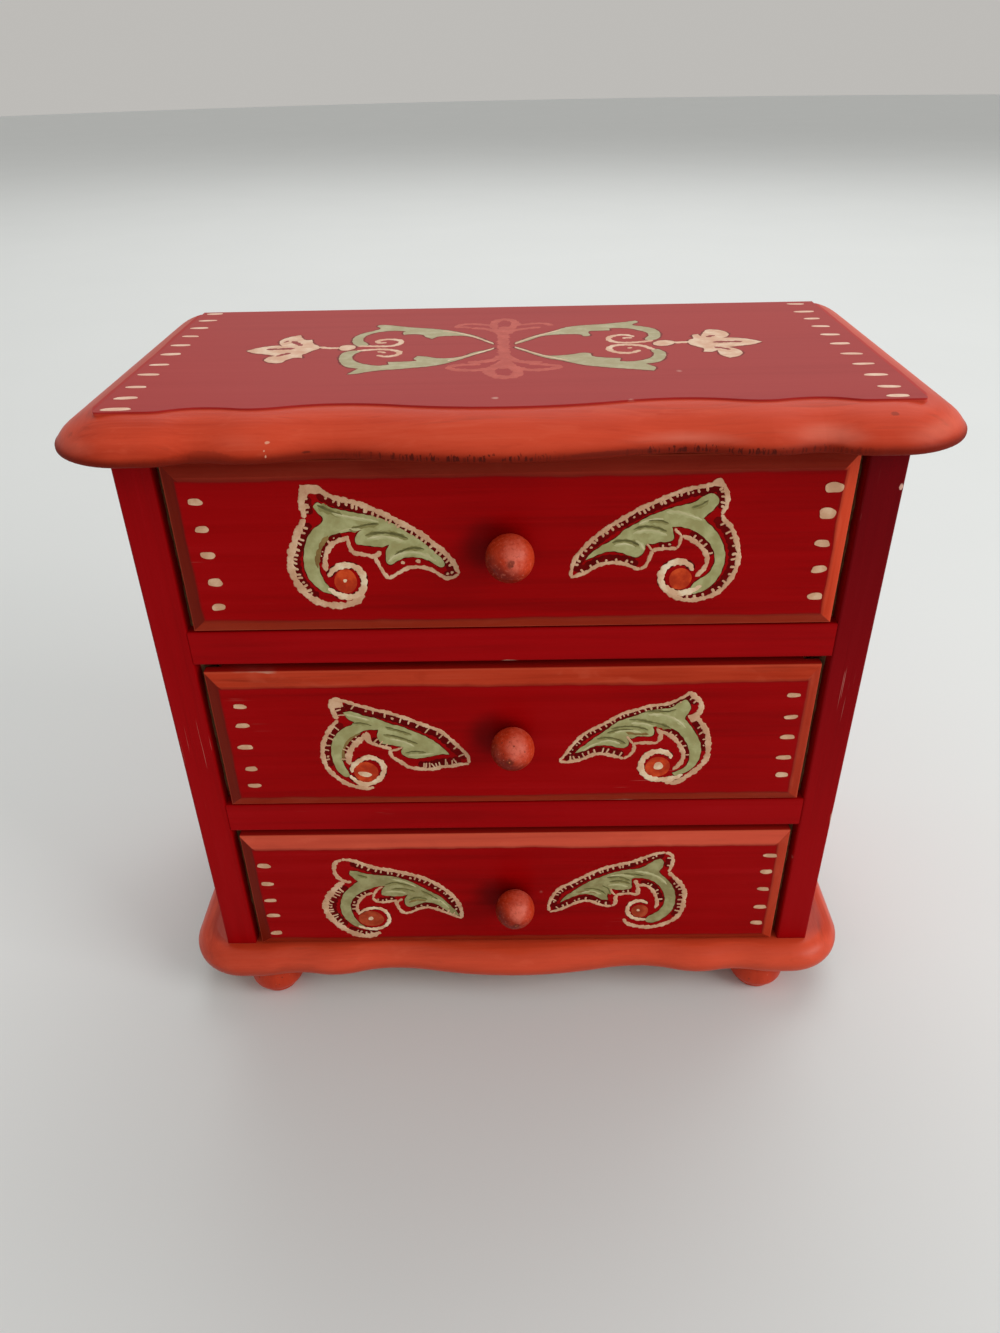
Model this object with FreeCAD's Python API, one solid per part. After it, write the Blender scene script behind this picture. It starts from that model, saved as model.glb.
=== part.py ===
import FreeCAD, Part
import math
import os

V = FreeCAD.Vector
os.makedirs("parts", exist_ok=True)

# ---------------------------------------------------------------------------
# Small painted chest of three drawers with a wind-up musical movement behind
# the top drawer.  Millimetres.
#
# Working coordinates: X to the right, Y from the front of the case (Y = 0 at
# the front edges of the two sides) to the back, Z up from the upper face of
# the base board.  Everything is moved once, at the end, so that the finished
# part stands on Z = 0 with the middle of its outer box on the Z axis.
# ---------------------------------------------------------------------------

# carcass
CASE_W = 200.0          # over the two sides
BOARD = 10.0            # thickness of the sides
CASE_D = 102.0          # depth of the sides
BACK_T = 4.0            # back panel
SIDE_H = 177.4          # height of the sides, base board to top board
SHELF1 = (51.9, 62.4)   # lower shelf, lower and upper face
SHELF2 = (114.5, 125.1) # upper shelf
HOUSING = 2.5           # depth of the grooves that hold the shelves
HOUSING_STOP = 6.0      # the grooves stop this far behind the front edge

# top board
TOP_T = 10.0
TOP_FLAT_HALF = 101.6   # half width of the flat field
TOP_CORNER_R = 9.0
TOP_FRONT_Y = 0.6       # flat field's front line at the corners
BOARD_BACK_Y = 106.5
TOP_SIDE_RUN = 13.0     # how far the edge moulding reaches past the field
# base board
BASE_T = 9.0
BASE_FLAT_HALF = 106.2
BASE_CORNER_R = 12.0
BASE_FRONT_Y = -0.5
BASE_SIDE_RUN = 7.4

# feet
FOOT_H = 12.0
FOOT_R = 9.2
FOOT_X = 85.0
FOOT_Y = (3.0, 93.0)

# drawers
FRONT_W = 175.6
FRONT_H = 49.0
FRONT_T = 8.0           # behind the bevel
BEVEL_W = 3.7
BEVEL_D = 1.6
FRONT_GAP = 0.6         # under each drawer front
BOX_HALF = 87.5         # outside of the drawer's own sides
BOX_T = 4.0
BOX_H = 44.0
BOX_GAP = 0.2
BOTTOM_T = 2.5
FELT_T = 1.0
GROOVE = 2.0
TOP_DRAWER_L = 64.0
LONG_DRAWER_L = 98.0
KNOB_R = 6.35
KNOB_Y = -7.5           # ball centre

# musical movement, behind the top drawer, carried by the back panel
ARBOR_Z = 151.0
KEY_END_Y = 124.5
PARTITION = (66.0, 69.0)

X = V(1, 0, 0)
Y = V(0, 1, 0)
Z = V(0, 0, 1)

shapes = {}


def box(x0, x1, y0, y1, z0, z1):
    return Part.makeBox(x1 - x0, y1 - y0, z1 - z0, V(x0, y0, z0))


def rod(r, p, axis, length):
    return Part.makeCylinder(r, length, V(*p), axis)


def fillet_where(shape, radius, test):
    edges = []
    for e in shape.Edges:
        c = e.CenterOfMass
        d = e.tangentAt(e.FirstParameter)
        if test(c, d):
            edges.append(e)
    return shape.makeFillet(radius, edges) if edges else shape


def along(d, axis):
    return abs(d.dot(axis)) > 0.999


def fuse(parts):
    s = parts[0]
    if len(parts) > 1:
        s = s.multiFuse(parts[1:])
    return s.removeSplitter()


def keep(name, shape):
    shapes[name] = shape


# ---------------------------------------------------------------------------
# Top and base boards: a flat field with a serpentine front, and a rounded
# moulding run round the front and both sides.  The back is cut square.
# ---------------------------------------------------------------------------

# serpentine: (X, distance behind the corner line) at each crest and hollow, mirrored about X = 0
TOP_WAVE = [(0.0, -0.8), (42.0, 4.0), (63.0, 1.1), (75.5, 2.7), (88.0, 0.0)]
BASE_WAVE = [(0.0, -0.8), (42.0, 3.0), (63.0, 0.2), (75.0, 1.4), (88.0, 0.0)]
# between a crest and a hollow lie two arcs; the hollow's arc takes this share of their radii
HOLLOW_SHARE_WIDE = 1.0 / 3.0    # either side of the middle crest
HOLLOW_SHARE_NARROW = 2.0 / 3.0  # the small waves at the ends


def board_path(half, corner_r, front_y, wave):
    """Rim of the flat field as lines and tangent arcs, from the left end of the back round the
    front to the right end of the back.  A move is ("line", length) or ("arc", radius, degrees),
    positive degrees turning left, so that the outside is always on the right."""
    back = BOARD_BACK_Y
    moves = [("line", back - front_y - corner_r), ("arc", corner_r, 90.0),
             ("line", half - corner_r - wave[-1][0])]
    pts = [(-x, d) for x, d in reversed(wave)] + list(wave[1:])
    for (xa, da), (xb, db) in zip(pts, pts[1:]):
        run_, h = xb - xa, abs(db - da)
        total_r = (run_ ** 2 + h ** 2) / (2 * h)
        turn = math.degrees(math.asin(run_ / total_r))
        share = HOLLOW_SHARE_WIDE if run_ > 30 else HOLLOW_SHARE_NARROW
        hollow, crest = total_r * share, total_r * (1 - share)
        if db > da:
            moves += [("arc", crest, turn), ("arc", hollow, -turn)]
        else:
            moves += [("arc", hollow, -turn), ("arc", crest, turn)]
    moves += [("line", half - corner_r - wave[-1][0]), ("arc", corner_r, 90.0),
              ("line", back - front_y - corner_r)]
    return moves


def board(moves, half, z_top, thick, upper, run, lower):
    """upper: points of the moulding's upper curve as (out, down), ending at the widest point
    with a vertical tangent; lower: (out, down) where the curve under it meets the underside."""
    y = BOARD_BACK_Y
    lo, lo_down = lower

    # profile at the path's start, which runs along -Y: out is -X
    def p(out, down):
        return V(-half - out, y, -down)

    profile = []
    start_down = upper[0][1]
    if start_down > 0:
        profile.append(Part.makeLine(p(0, 0), p(0, start_down)))
    c = Part.BSplineCurve()
    c.interpolate(Points=[p(*q) for q in upper], InitialTangent=V(-1, 0, -0.06), FinalTangent=V(0, 0, -1))
    profile.append(c.toShape())
    wide, wide_down = upper[-1]
    mid = p(wide - (wide - lo) * 0.29, wide_down + (lo_down - wide_down) * 0.71)
    c2 = Part.BSplineCurve()
    c2.interpolate(Points=[p(wide, wide_down), mid, p(lo, lo_down)], InitialTangent=V(0, 0, -1), FinalTangent=V(1, 0, 0))
    profile.append(c2.toShape())

    faces, rim_top, rim_low = [], [], []
    tip_top, tip_low = Part.Vertex(p(0, 0)), Part.Vertex(p(lo, lo_down))
    ends = [e.copy() for e in profile]
    first_top, first_low = tip_top.Point, tip_low.Point
    place = V(-half, y, 0)
    heading = -90.0
    for m in moves:
        h = math.radians(heading)
        if m[0] == "line":
            step = V(math.cos(h), math.sin(h), 0) * m[1]
            faces += [e.extrude(step) for e in profile]
            rim_top.append(tip_top.extrude(step))
            rim_low.append(tip_low.extrude(step))
            for s in profile + [tip_top, tip_low]:
                s.translate(step)
            place = place + step
        else:
            radius, turn = m[1], m[2]
            left = V(-math.sin(h), math.cos(h), 0)
            sign = 1.0 if turn > 0 else -1.0
            centre = place + left * (radius * sign)
            axis = V(0, 0, sign)
            faces += [e.revolve(centre, axis, abs(turn)) for e in profile]
            rim_top.append(tip_top.revolve(centre, axis, abs(turn)))
            rim_low.append(tip_low.revolve(centre, axis, abs(turn)))
            for s in profile + [tip_top, tip_low]:
                s.rotate(centre, axis, abs(turn))
            arm = place - centre
            a = math.radians(turn)
            place = centre + V(arm.x * math.cos(a) - arm.y * math.sin(a), arm.x * math.sin(a) + arm.y * math.cos(a), 0)
            heading += turn
    ends += [e.copy() for e in profile]
    l_top = Part.makeLine(first_top, tip_top.Point)
    l_low = Part.makeLine(first_low, tip_low.Point)

    def face_of(edges):
        return Part.Face(Part.Wire(Part.__sortEdges__(edges)))

    skin = faces + [face_of(rim_top + [l_top]), face_of(rim_low + [l_low]), face_of(ends + [l_top, l_low])]
    comp = Part.makeCompound(skin)
    comp.sewShape()
    solid = Part.Solid(comp.Shells[0])
    if solid.Volume < 0:
        solid.reverse()
    solid.translate(V(0, 0, z_top))
    return solid


TOP_Z = SIDE_H + TOP_T
top_path = board_path(TOP_FLAT_HALF, TOP_CORNER_R, TOP_FRONT_Y, TOP_WAVE)
top = board(top_path, TOP_FLAT_HALF, TOP_Z, TOP_T,
            [(0.0, 0.5), (3.0, 1.1), (6.2, 2.4), (9.1, 4.15), (11.2, 5.85), (12.5, 7.4), (TOP_SIDE_RUN, 8.6)],
            TOP_SIDE_RUN, (11.2, TOP_T))
# the raised field keeps sharp front corners where the moulding turns on its larger radius
for sx in (-1, 1):
    x0, x1 = sorted((sx * TOP_FLAT_HALF, sx * (TOP_FLAT_HALF - TOP_CORNER_R)))
    tip = box(x0, x1, TOP_FRONT_Y, TOP_FRONT_Y + TOP_CORNER_R, TOP_Z - 4.0, TOP_Z)
    tip = fillet_where(tip, 1.2, lambda c, d: along(d, Z) and abs(abs(c.x) - TOP_FLAT_HALF) < 0.01
                       and abs(c.y - TOP_FRONT_Y) < 0.01)
    top = top.fuse(tip)
top = top.removeSplitter()
base_path = board_path(BASE_FLAT_HALF, BASE_CORNER_R, BASE_FRONT_Y, BASE_WAVE)
base = board(base_path, BASE_FLAT_HALF, 0.0, BASE_T,
             [(0.0, 0.0), (2.0, 0.25), (4.0, 1.05), (5.7, 2.4), (6.9, 4.2), (BASE_SIDE_RUN, 6.2)],
             BASE_SIDE_RUN, (5.2, BASE_T))

# ---------------------------------------------------------------------------
# Carcass
# ---------------------------------------------------------------------------
H = CASE_W / 2
IN = H - BOARD

DOWELS = [(sx * (H - BOARD / 2), y) for sx in (-1, 1) for y in (25.0, 77.0)]
DOWEL_R, DOWEL_DOWN, DOWEL_UP = 3.0, 12.0, 6.0
SCREW_R = 1.6


def side(sign):
    x0, x1 = (-H, -IN) if sign < 0 else (IN, H)
    s = box(x0, x1, 0, CASE_D, 0, SIDE_H)
    s = fillet_where(s, 0.7, lambda c, d: along(d, Z) and c.y < 0.1)
    inner = -IN if sign < 0 else IN
    g0, g1 = (inner - HOUSING, inner) if sign < 0 else (inner, inner + HOUSING)
    for z0, z1 in (SHELF1, SHELF2):
        s = s.cut(box(g0, g1, HOUSING_STOP, CASE_D, z0, z1))
    for x, y in DOWELS:
        if x * sign > 0:
            s = s.cut(rod(DOWEL_R, (x, y, SIDE_H - DOWEL_DOWN), Z, DOWEL_DOWN))
            s = s.cut(rod(SCREW_R, (x, y, 0), Z, 16.0))
    for x, z in BACK_SCREWS:
        if x * sign > IN:
            s = s.cut(rod(1.0, (x, CASE_D - 9.0, z), Y, 9.0))
    return s


SH1 = sum(SHELF1) / 2
SH2 = sum(SHELF2) / 2
BACK_SCREWS = [(sx * 95.0, z) for sx in (-1, 1) for z in (12.0, 88.0, 165.0)] + \
              [(sx * 42.0, z) for sx in (-1, 1) for z in (SH1, SH2)]

keep("left_side", side(-1))
keep("right_side", side(1))


def shelf(z0, z1):
    s = box(-IN, IN, 0, CASE_D, z0, z1)
    s = fillet_where(s, 0.6, lambda c, d: along(d, X) and c.y < 0.1)
    s = s.fuse([box(-IN - HOUSING, -IN, HOUSING_STOP, CASE_D, z0, z1),
                box(IN, IN + HOUSING, HOUSING_STOP, CASE_D, z0, z1)]).removeSplitter()
    zc = (z0 + z1) / 2
    for x, z in BACK_SCREWS:
        if abs(x) < IN and abs(z - zc) < 1:
            s = s.cut(rod(1.0, (x, CASE_D - 9.0, z), Y, 9.0))
    return s


keep("lower_shelf", shelf(*SHELF1))
keep("upper_shelf", shelf(*SHELF2))

# movement position, needed by the back panel
MOVE_SCREWS = [(-10.0, 169.0), (-10.0, 139.5), (42.0, 169.0)]
PANEL_Y = CASE_D            # inner face of the back panel; depths w are measured from here forwards

back = box(-H, H, CASE_D, CASE_D + BACK_T, 0, SIDE_H)
back = fillet_where(back, 0.5, lambda c, d: along(d, Z) and c.y > CASE_D + BACK_T - 0.1)
for x, z in BACK_SCREWS:
    back = back.cut(rod(1.0, (x, CASE_D, z), Y, BACK_T))
for x, z in MOVE_SCREWS:
    back = back.cut(rod(1.4, (x, CASE_D, z), Y, BACK_T))
back = back.cut(rod(4.5, (0, CASE_D, ARBOR_Z), Y, BACK_T))
keep("back_panel", back)


def pan_screw(r, length, head_r, head_h, slot):
    """Round-head screw along +Y: the shank ends at Y = 0 under the head."""
    shank = rod(r, (0, -length, 0), Y, length)
    shank = shank.fuse(Part.makeCone(0.25 * r, r, r * 1.2, V(0, -length - r * 1.2, 0), Y))
    head = rod(head_r, (0, 0, 0), Y, head_h)
    head = fillet_where(head, head_h * 0.7, lambda c, d: c.y > head_h * 0.9 and abs(d.y) < 0.1)
    s = shank.fuse(head).removeSplitter()
    return s.cut(box(-head_r, head_r, head_h - slot, head_h + 1, -0.28, 0.28))


def group(shape, places, turns=None):
    out = []
    for i, (x, y, z) in enumerate(places):
        c = shape.copy()
        if turns:
            c.rotate(V(0, 0, 0), Y, turns[i % len(turns)])
        c.translate(V(x, y, z))
        out.append(c)
    return Part.makeCompound(out)


TURNS = [12, 75, -30, 48, -64, 22, 5, -18, 60, -42]
keep("back_screws", group(pan_screw(1.0, BACK_T + 7.0, 2.1, 1.2, 0.6),
                          [(x, CASE_D + BACK_T, z) for x, z in BACK_SCREWS], TURNS))

# top and base: sockets for dowels, feet and screws
for x, y in DOWELS:
    top = top.cut(rod(DOWEL_R, (x, y, SIDE_H), Z, DOWEL_UP))
    base = base.cut(rod(SCREW_R, (x, y, -BASE_T), Z, BASE_T))
    base = base.cut(Part.makeCone(3.3, SCREW_R, 1.9, V(x, y, -BASE_T), Z))
FEET = [(sx * FOOT_X, y) for sx in (-1, 1) for y in FOOT_Y]
FOOT_PEG_R, FOOT_PEG = 3.0, 5.0
for x, y in FEET:
    base = base.cut(rod(FOOT_PEG_R, (x, y, -BASE_T), Z, FOOT_PEG))
keep("top_board", top)
keep("base_board", base)

keep("top_dowels", Part.makeCompound([rod(DOWEL_R, (x, y, SIDE_H - DOWEL_DOWN), Z, DOWEL_DOWN + DOWEL_UP)
                                      for x, y in DOWELS]))
cs = rod(SCREW_R, (0, 0, 1.9), Z, BASE_T + 11.5).fuse(Part.makeCone(3.3, SCREW_R, 1.9, V(0, 0, 0), Z)).removeSplitter()
cs = cs.fuse(Part.makeCone(SCREW_R, 0.4, 2.4, V(0, 0, BASE_T + 13.4), Z)).removeSplitter()
cs = cs.cut(box(-4, 4, -0.4, 0.4, -0.1, 0.9))
keep("base_screws", Part.makeCompound([cs.translated(V(x, y, -BASE_T)) for x, y in DOWELS]))


def revolve(points_edges, centre, axis):
    face = Part.Face(Part.Wire(points_edges))
    return face.revolve(centre, axis, 360)


def foot(x, y):
    """Turned bun foot with a peg."""
    zt = 0.0
    c = Part.BSplineCurve()
    pts = [V(6.2, 0, zt), V(8.6, 0, zt - 2.3), V(FOOT_R, 0, zt - 5.2), V(8.6, 0, zt - 8.4), V(6.6, 0, zt - 10.9), V(4.8, 0, -FOOT_H)]
    c.interpolate(Points=pts, InitialTangent=V(1, 0, -0.25), FinalTangent=V(-1, 0, -0.08))
    e = [Part.makeLine(V(0, 0, FOOT_PEG - 0.3), V(FOOT_PEG_R, 0, FOOT_PEG - 0.3)),
         Part.makeLine(V(FOOT_PEG_R, 0, FOOT_PEG - 0.3), V(FOOT_PEG_R, 0, zt)),
         Part.makeLine(V(FOOT_PEG_R, 0, zt), pts[0]),
         c.toShape(),
         Part.makeLine(pts[-1], V(0, 0, -FOOT_H)),
         Part.makeLine(V(0, 0, -FOOT_H), V(0, 0, FOOT_PEG - 0.3))]
    s = revolve(e, V(0, 0, 0), Z)
    s.translate(V(x, y, -BASE_T))
    return s


for (x, y), n in zip(FEET, ("foot_front_left", "foot_back_left", "foot_front_right", "foot_back_right")):
    keep(n, foot(x, y))

# ---------------------------------------------------------------------------
# Drawers
# ---------------------------------------------------------------------------


def knob(z):
    """Ball knob seated on the drawer front, with a peg glued into it."""
    face_y = -BEVEL_D
    neck = 2.9
    yn = KNOB_Y + math.sqrt(KNOB_R ** 2 - neck ** 2)

    def p(r, y):
        return V(r, y, 0)

    k = math.sin(math.radians(45))
    a1 = Part.Arc(p(0, KNOB_Y - KNOB_R), p(KNOB_R * k, KNOB_Y - KNOB_R * k), p(KNOB_R, KNOB_Y)).toShape()
    ang = math.atan2(yn - KNOB_Y, neck) / 2
    a2 = Part.Arc(p(KNOB_R, KNOB_Y), p(KNOB_R * math.cos(ang), KNOB_Y + KNOB_R * math.sin(ang)), p(neck, yn)).toShape()
    e = [a1, a2,
         Part.makeLine(p(neck, yn), p(neck + 0.15, face_y)),
         Part.makeLine(p(neck + 0.15, face_y), p(2.5, face_y)),
         Part.makeLine(p(2.5, face_y), p(2.5, 5.2)),
         Part.makeLine(p(2.5, 5.2), p(0, 5.2)),
         Part.makeLine(p(0, 5.2), p(0, KNOB_Y - KNOB_R))]
    s = revolve(e, V(0, 0, 0), Y)
    s.translate(V(0, 0, z))
    return s


def drawer(prefix, floor, length, knob_z):
    hw = FRONT_W / 2
    f0 = floor + FRONT_GAP
    f1 = f0 + FRONT_H
    s0 = floor + BOX_GAP
    s1 = s0 + BOX_H
    b0 = s0 + 3.0
    b1 = b0 + BOTTOM_T
    xi = BOX_HALF - BOX_T

    def rect(x, y, za, zb):
        return Part.makePolygon([V(-x, y, za), V(x, y, za), V(x, y, zb), V(-x, y, zb), V(-x, y, za)])

    bevel = Part.makeLoft([rect(hw, 0, f0, f1), rect(hw - BEVEL_W, -BEVEL_D, f0 + BEVEL_W, f1 - BEVEL_W)], True, True)
    front = box(-hw, hw, 0, FRONT_T, f0, f1).fuse(bevel).removeSplitter()
    front = fillet_where(front, 0.5, lambda c, d: abs(c.y) < 0.01 and (along(d, X) or along(d, Z)))
    # rebates for the sides, groove for the bottom, hole for the knob's peg
    front = front.cut([box(xi, hw + 1, 3.0, FRONT_T + 1, f0 - 1, f1 + 1), box(-hw - 1, -xi, 3.0, FRONT_T + 1, f0 - 1, f1 + 1)])
    front = front.cut(box(-xi - 1, xi + 1, FRONT_T - 3.0, FRONT_T + 1, b0, b1))
    front = front.cut(rod(2.5, (0, -BEVEL_D - 1, knob_z), Y, BEVEL_D + 1 + 5.4))
    keep(prefix + "_drawer_front", front)
    for sign, nm in ((-1, "left"), (1, "right")):
        x0, x1 = (xi, BOX_HALF) if sign > 0 else (-BOX_HALF, -xi)
        s = box(x0, x1, 3.0, length, s0, s1)
        s = fillet_where(s, 0.5, lambda c, d: along(d, Y) and c.z > s1 - 0.1)
        gx0, gx1 = (xi, xi + GROOVE) if sign > 0 else (-xi - GROOVE, -xi)
        s = s.cut(box(gx0, gx1, 3.0, length, b0, b1))
        keep("%s_drawer_%s_side" % (prefix, nm), s)
    rear = box(-xi, xi, length - BOX_T, length, b1, s1 - 2.0)
    rear = fillet_where(rear, 0.5, lambda c, d: along(d, X) and c.z > s1 - 2.1)
    keep(prefix + "_drawer_back", rear)
    keep(prefix + "_drawer_bottom", box(-xi - GROOVE, xi + GROOVE, 8.0, length, b0, b1).fuse(
        box(-xi, xi, FRONT_T - 3.0, 8.0, b0, b1)).removeSplitter())
    felt = box(-xi + 0.2, xi - 0.2, FRONT_T + 0.2, length - BOX_T - 0.2, b1, b1 + FELT_T)
    felt = fillet_where(felt, 0.4, lambda c, d: c.z > b1 + FELT_T - 0.01 and abs(d.z) < 0.1)
    keep(prefix + "_drawer_lining", felt)
    keep(prefix + "_drawer_knob", knob(knob_z))


drawer("top", SHELF2[1], TOP_DRAWER_L, 150.3)
drawer("middle", SHELF1[1], LONG_DRAWER_L, 89.1)
drawer("bottom", 0.0, LONG_DRAWER_L, 23.4)

# ---------------------------------------------------------------------------
# Partition behind the top drawer, with the slot for the stop lever's feeler
# ---------------------------------------------------------------------------
STOP_Z = 141.0
part_board = box(-IN, IN, PARTITION[0], PARTITION[1], SHELF2[1], SIDE_H)
part_board = part_board.cut(box(58.5, 69.5, PARTITION[0] - 1, PARTITION[1] + 1, STOP_Z - 4, STOP_Z + 4))
keep("movement_partition", part_board)

# ---------------------------------------------------------------------------
# Musical movement.  Depth w is measured forwards from the panel's inner face.
# ---------------------------------------------------------------------------


def wbox(x0, x1, w0, w1, z0, z1):
    return box(x0, x1, PANEL_Y - w1, PANEL_Y - w0, z0, z1)


BED_T = 2.5
bed = wbox(-14, 46, 0, BED_T, 135.5, 173.5)
bed = fillet_where(bed, 2.0, lambda c, d: along(d, Y))
stand = wbox(14.0, 38.0, BED_T, 12.4, 163.5, 172.5)
bed = bed.fuse(stand).removeSplitter()
bed = bed.cut(rod(2.06, (0, PANEL_Y - BED_T - 1, ARBOR_Z), Y, BED_T + 2))
for x, z in MOVE_SCREWS:
    bed = bed.cut(rod(1.4, (x, PANEL_Y - BED_T - 1, z), Y, BED_T + 2))
COMB_SCREWS = [(19.5, 168.5), (32.5, 168.5)]
for x, z in COMB_SCREWS:
    bed = bed.cut(rod(1.0, (x, PANEL_Y - 12.5, z), Y, 5.1))
PLATE_SCREWS = [(16.4, 151.0), (41.9, 152.6)]
for x, z in PLATE_SCREWS:
    bed = bed.cut(rod(0.7, (x, PANEL_Y - BED_T - 1, z), Y, BED_T + 1))
keep("movement_bedplate", bed)

keep("movement_screws", group(pan_screw(1.4, BACK_T + BED_T - 0.3, 2.8, 1.6, 0.8),
                              [(x, CASE_D + BACK_T, z) for x, z in MOVE_SCREWS], [35, -20, 80]))

# comb: a tuned steel comb, one tooth a note, on the bedplate's ledge
NOTES = 18
PITCH = 1.25
FIRST = 15.4
comb = wbox(14.2, 37.8, 12.4, 13.2, 163.2, 172.3)
teeth = [wbox(FIRST + PITCH * i - 0.5, FIRST + PITCH * i + 0.5, 12.4, 13.2, 158.2, 163.4) for i in range(NOTES)]
comb = fuse([comb] + teeth)
for x, z in COMB_SCREWS:
    comb = comb.cut(rod(1.0, (x, PANEL_Y - 14, z), Y, 2))
keep("comb", comb)


def small_screw(r, length, head_r, head_h):
    """Cheese-head screw driven from the front: head towards -Y, Y = 0 under the head."""
    s = rod(r, (0, 0, 0), Y, length).fuse(rod(head_r, (0, -head_h, 0), Y, head_h)).removeSplitter()
    return s.cut(box(-head_r, head_r, -head_h - 1, -head_h * 0.5, -0.2, 0.2))


keep("comb_screws", group(small_screw(1.0, 5.6, 1.9, 1.1), [(x, PANEL_Y - 13.2, z) for x, z in COMB_SCREWS], [20, -50]))
keep("plate_screws", group(small_screw(0.7, 2.6, 1.25, 0.7), [(x, PANEL_Y - BED_T - 0.8, z) for x, z in PLATE_SCREWS], [10, 65]))

# gears ----------------------------------------------------------------------


def spur(n, m, x0, x1, centre_z, centre_w, bore, phase_deg, thick=0.44):
    """Spur wheel with straight-sided teeth about an X axis; phase is the angle of a tooth's
    middle in the (z, w) plane, measured from +Z towards growing w."""
    rp = m * n / 2.0
    ra, rf = rp + 0.8 * m, rp - 1.1 * m
    step = 2 * math.pi / n
    half_p = thick * step / 2
    pts = []
    for i in range(n):
        a = math.radians(phase_deg) + i * step
        for r, da in ((rf, -half_p * 1.30), (ra, -half_p * 0.55), (ra, half_p * 0.55), (rf, half_p * 1.30)):
            pts.append((r, a + da))
    poly = [V(x0, PANEL_Y - (centre_w + r * math.sin(a)), centre_z + r * math.cos(a)) for r, a in pts]
    poly.append(poly[0])
    s = Part.Face(Part.makePolygon(poly)).extrude(V(x1 - x0, 0, 0))
    if bore:
        s = s.cut(rod(bore, (x0 - 1, PANEL_Y - centre_w, centre_z), X, x1 - x0 + 2))
    return s


AX0 = (ARBOR_Z, 13.0)                      # cylinder arbor (z, w)
N1, N2, M12 = 40, 10, 0.35
N3, N4, M34 = 36, 9, 0.30
D01 = M12 * (N1 + N2) / 2 + 0.05
D12 = M34 * (N3 + N4) / 2 + 0.05
TH01 = math.radians(180 + 26)              # towards -Z and the bedplate
AX1 = (AX0[0] + D01 * math.cos(TH01), AX0[1] + D01 * math.sin(TH01))
TH12 = math.radians(180 - 72)
AX2 = (AX1[0] + D12 * math.cos(TH12), AX1[1] + D12 * math.sin(TH12))

# cylinder, pinned
DRUM_R = 6.4
drum = rod(DRUM_R, (14.3, PANEL_Y - AX0[1], AX0[0]), X, 23.2)
pins = []
for i in range(NOTES):
    for k in range(4):
        ang = math.radians((i * 53 + k * 97 + (i * i * 7) % 31) % 360)
        px = FIRST + PITCH * i
        dirv = V(0, -math.sin(ang), math.cos(ang))
        p0 = V(px, PANEL_Y - AX0[1], AX0[0]) + dirv * (DRUM_R - 0.4)
        pins.append(Part.makeCylinder(0.22, 0.8, p0, dirv))
drum = drum.multiFuse(pins)
drum = drum.cut(rod(0.9, (10, PANEL_Y - AX0[1], AX0[0]), X, 32))
keep("cylinder", drum)

PIN_N, PIN_M = 8, 0.40
arbor = rod(0.9, (8.2, PANEL_Y - AX0[1], AX0[0]), X, 36.0)
pinion = spur(PIN_N, PIN_M, 8.7, 10.5, AX0[0], AX0[1], None, -90.0)
keep("cylinder_arbor", arbor.fuse(pinion).removeSplitter())
keep("cylinder_wheel", spur(N1, M12, 38.0, 39.2, AX0[0], AX0[1], 0.9, math.degrees(TH01)))

# cock that carries the left end of the cylinder
cock = wbox(12.4, 13.6, BED_T, 16.0, 147.0, 155.0).fuse(wbox(12.4, 18.2, BED_T, BED_T + 0.8, 147.0, 155.0)).removeSplitter()
cock = cock.cut(rod(0.95, (12, PANEL_Y - AX0[1], AX0[0]), X, 2))
cock = cock.cut(rod(0.7, (PLATE_SCREWS[0][0], PANEL_Y - 4, PLATE_SCREWS[0][1]), Y, 3))
keep("cylinder_cock", cock)

# governor: frame, wheel with pinion, and fly
gf = wbox(39.7, 40.4, BED_T, 18.6, 138.0, 155.0).fuse([wbox(43.4, 44.2, BED_T, 18.6, 138.0, 155.0),
                                                      wbox(39.7, 44.2, BED_T, BED_T + 0.8, 150.0, 155.0)]).removeSplitter()
for (z, w), r in ((AX0, 0.95), (AX1, 0.65), (AX2, 0.65)):
    gf = gf.cut(rod(r, (39, PANEL_Y - w, z), X, 6))
gf = gf.cut(rod(0.7, (PLATE_SCREWS[1][0], PANEL_Y - 4, PLATE_SCREWS[1][1]), Y, 3))
keep("governor_frame", gf)

back1 = math.degrees(TH01) + 180.0
gw = rod(0.6, (37.6, PANEL_Y - AX1[1], AX1[0]), X, 6.6)
gw = fuse([gw, spur(N2, M12, 37.9, 39.3, AX1[0], AX1[1], None, back1 + 180.0 / N2),
           spur(N3, M34, 41.2, 42.2, AX1[0], AX1[1], None, math.degrees(TH12))])
keep("governor_wheel", gw)
back2 = math.degrees(TH12) + 180.0
fly = rod(0.6, (39.7, PANEL_Y - AX2[1], AX2[0]), X, 11.3)
FLY_R = 4.5
blades = wbox(45.4, 50.8, AX2[1] - 0.25, AX2[1] + 0.25, AX2[0] - FLY_R, AX2[0] + FLY_R)
blades = fillet_where(blades, 1.5, lambda c, d: along(d, Y))
fly = fuse([fly, spur(N4, M34, 41.1, 42.3, AX2[0], AX2[1], None, back2 + 180.0 / N4), blades])
keep("governor_fly", fly)

# spring barrel with face teeth that drive the cylinder's pinion
BAR_R = 10.8
FACE_N = 48
ROOT_W = AX0[1] - PIN_M * PIN_N / 2 - 0.45
TIP_W = AX0[1] - PIN_M * PIN_N / 2 + 0.30
MEAN_R = PIN_M * FACE_N / 2


def ybase(w):
    return PANEL_Y - w


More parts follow.
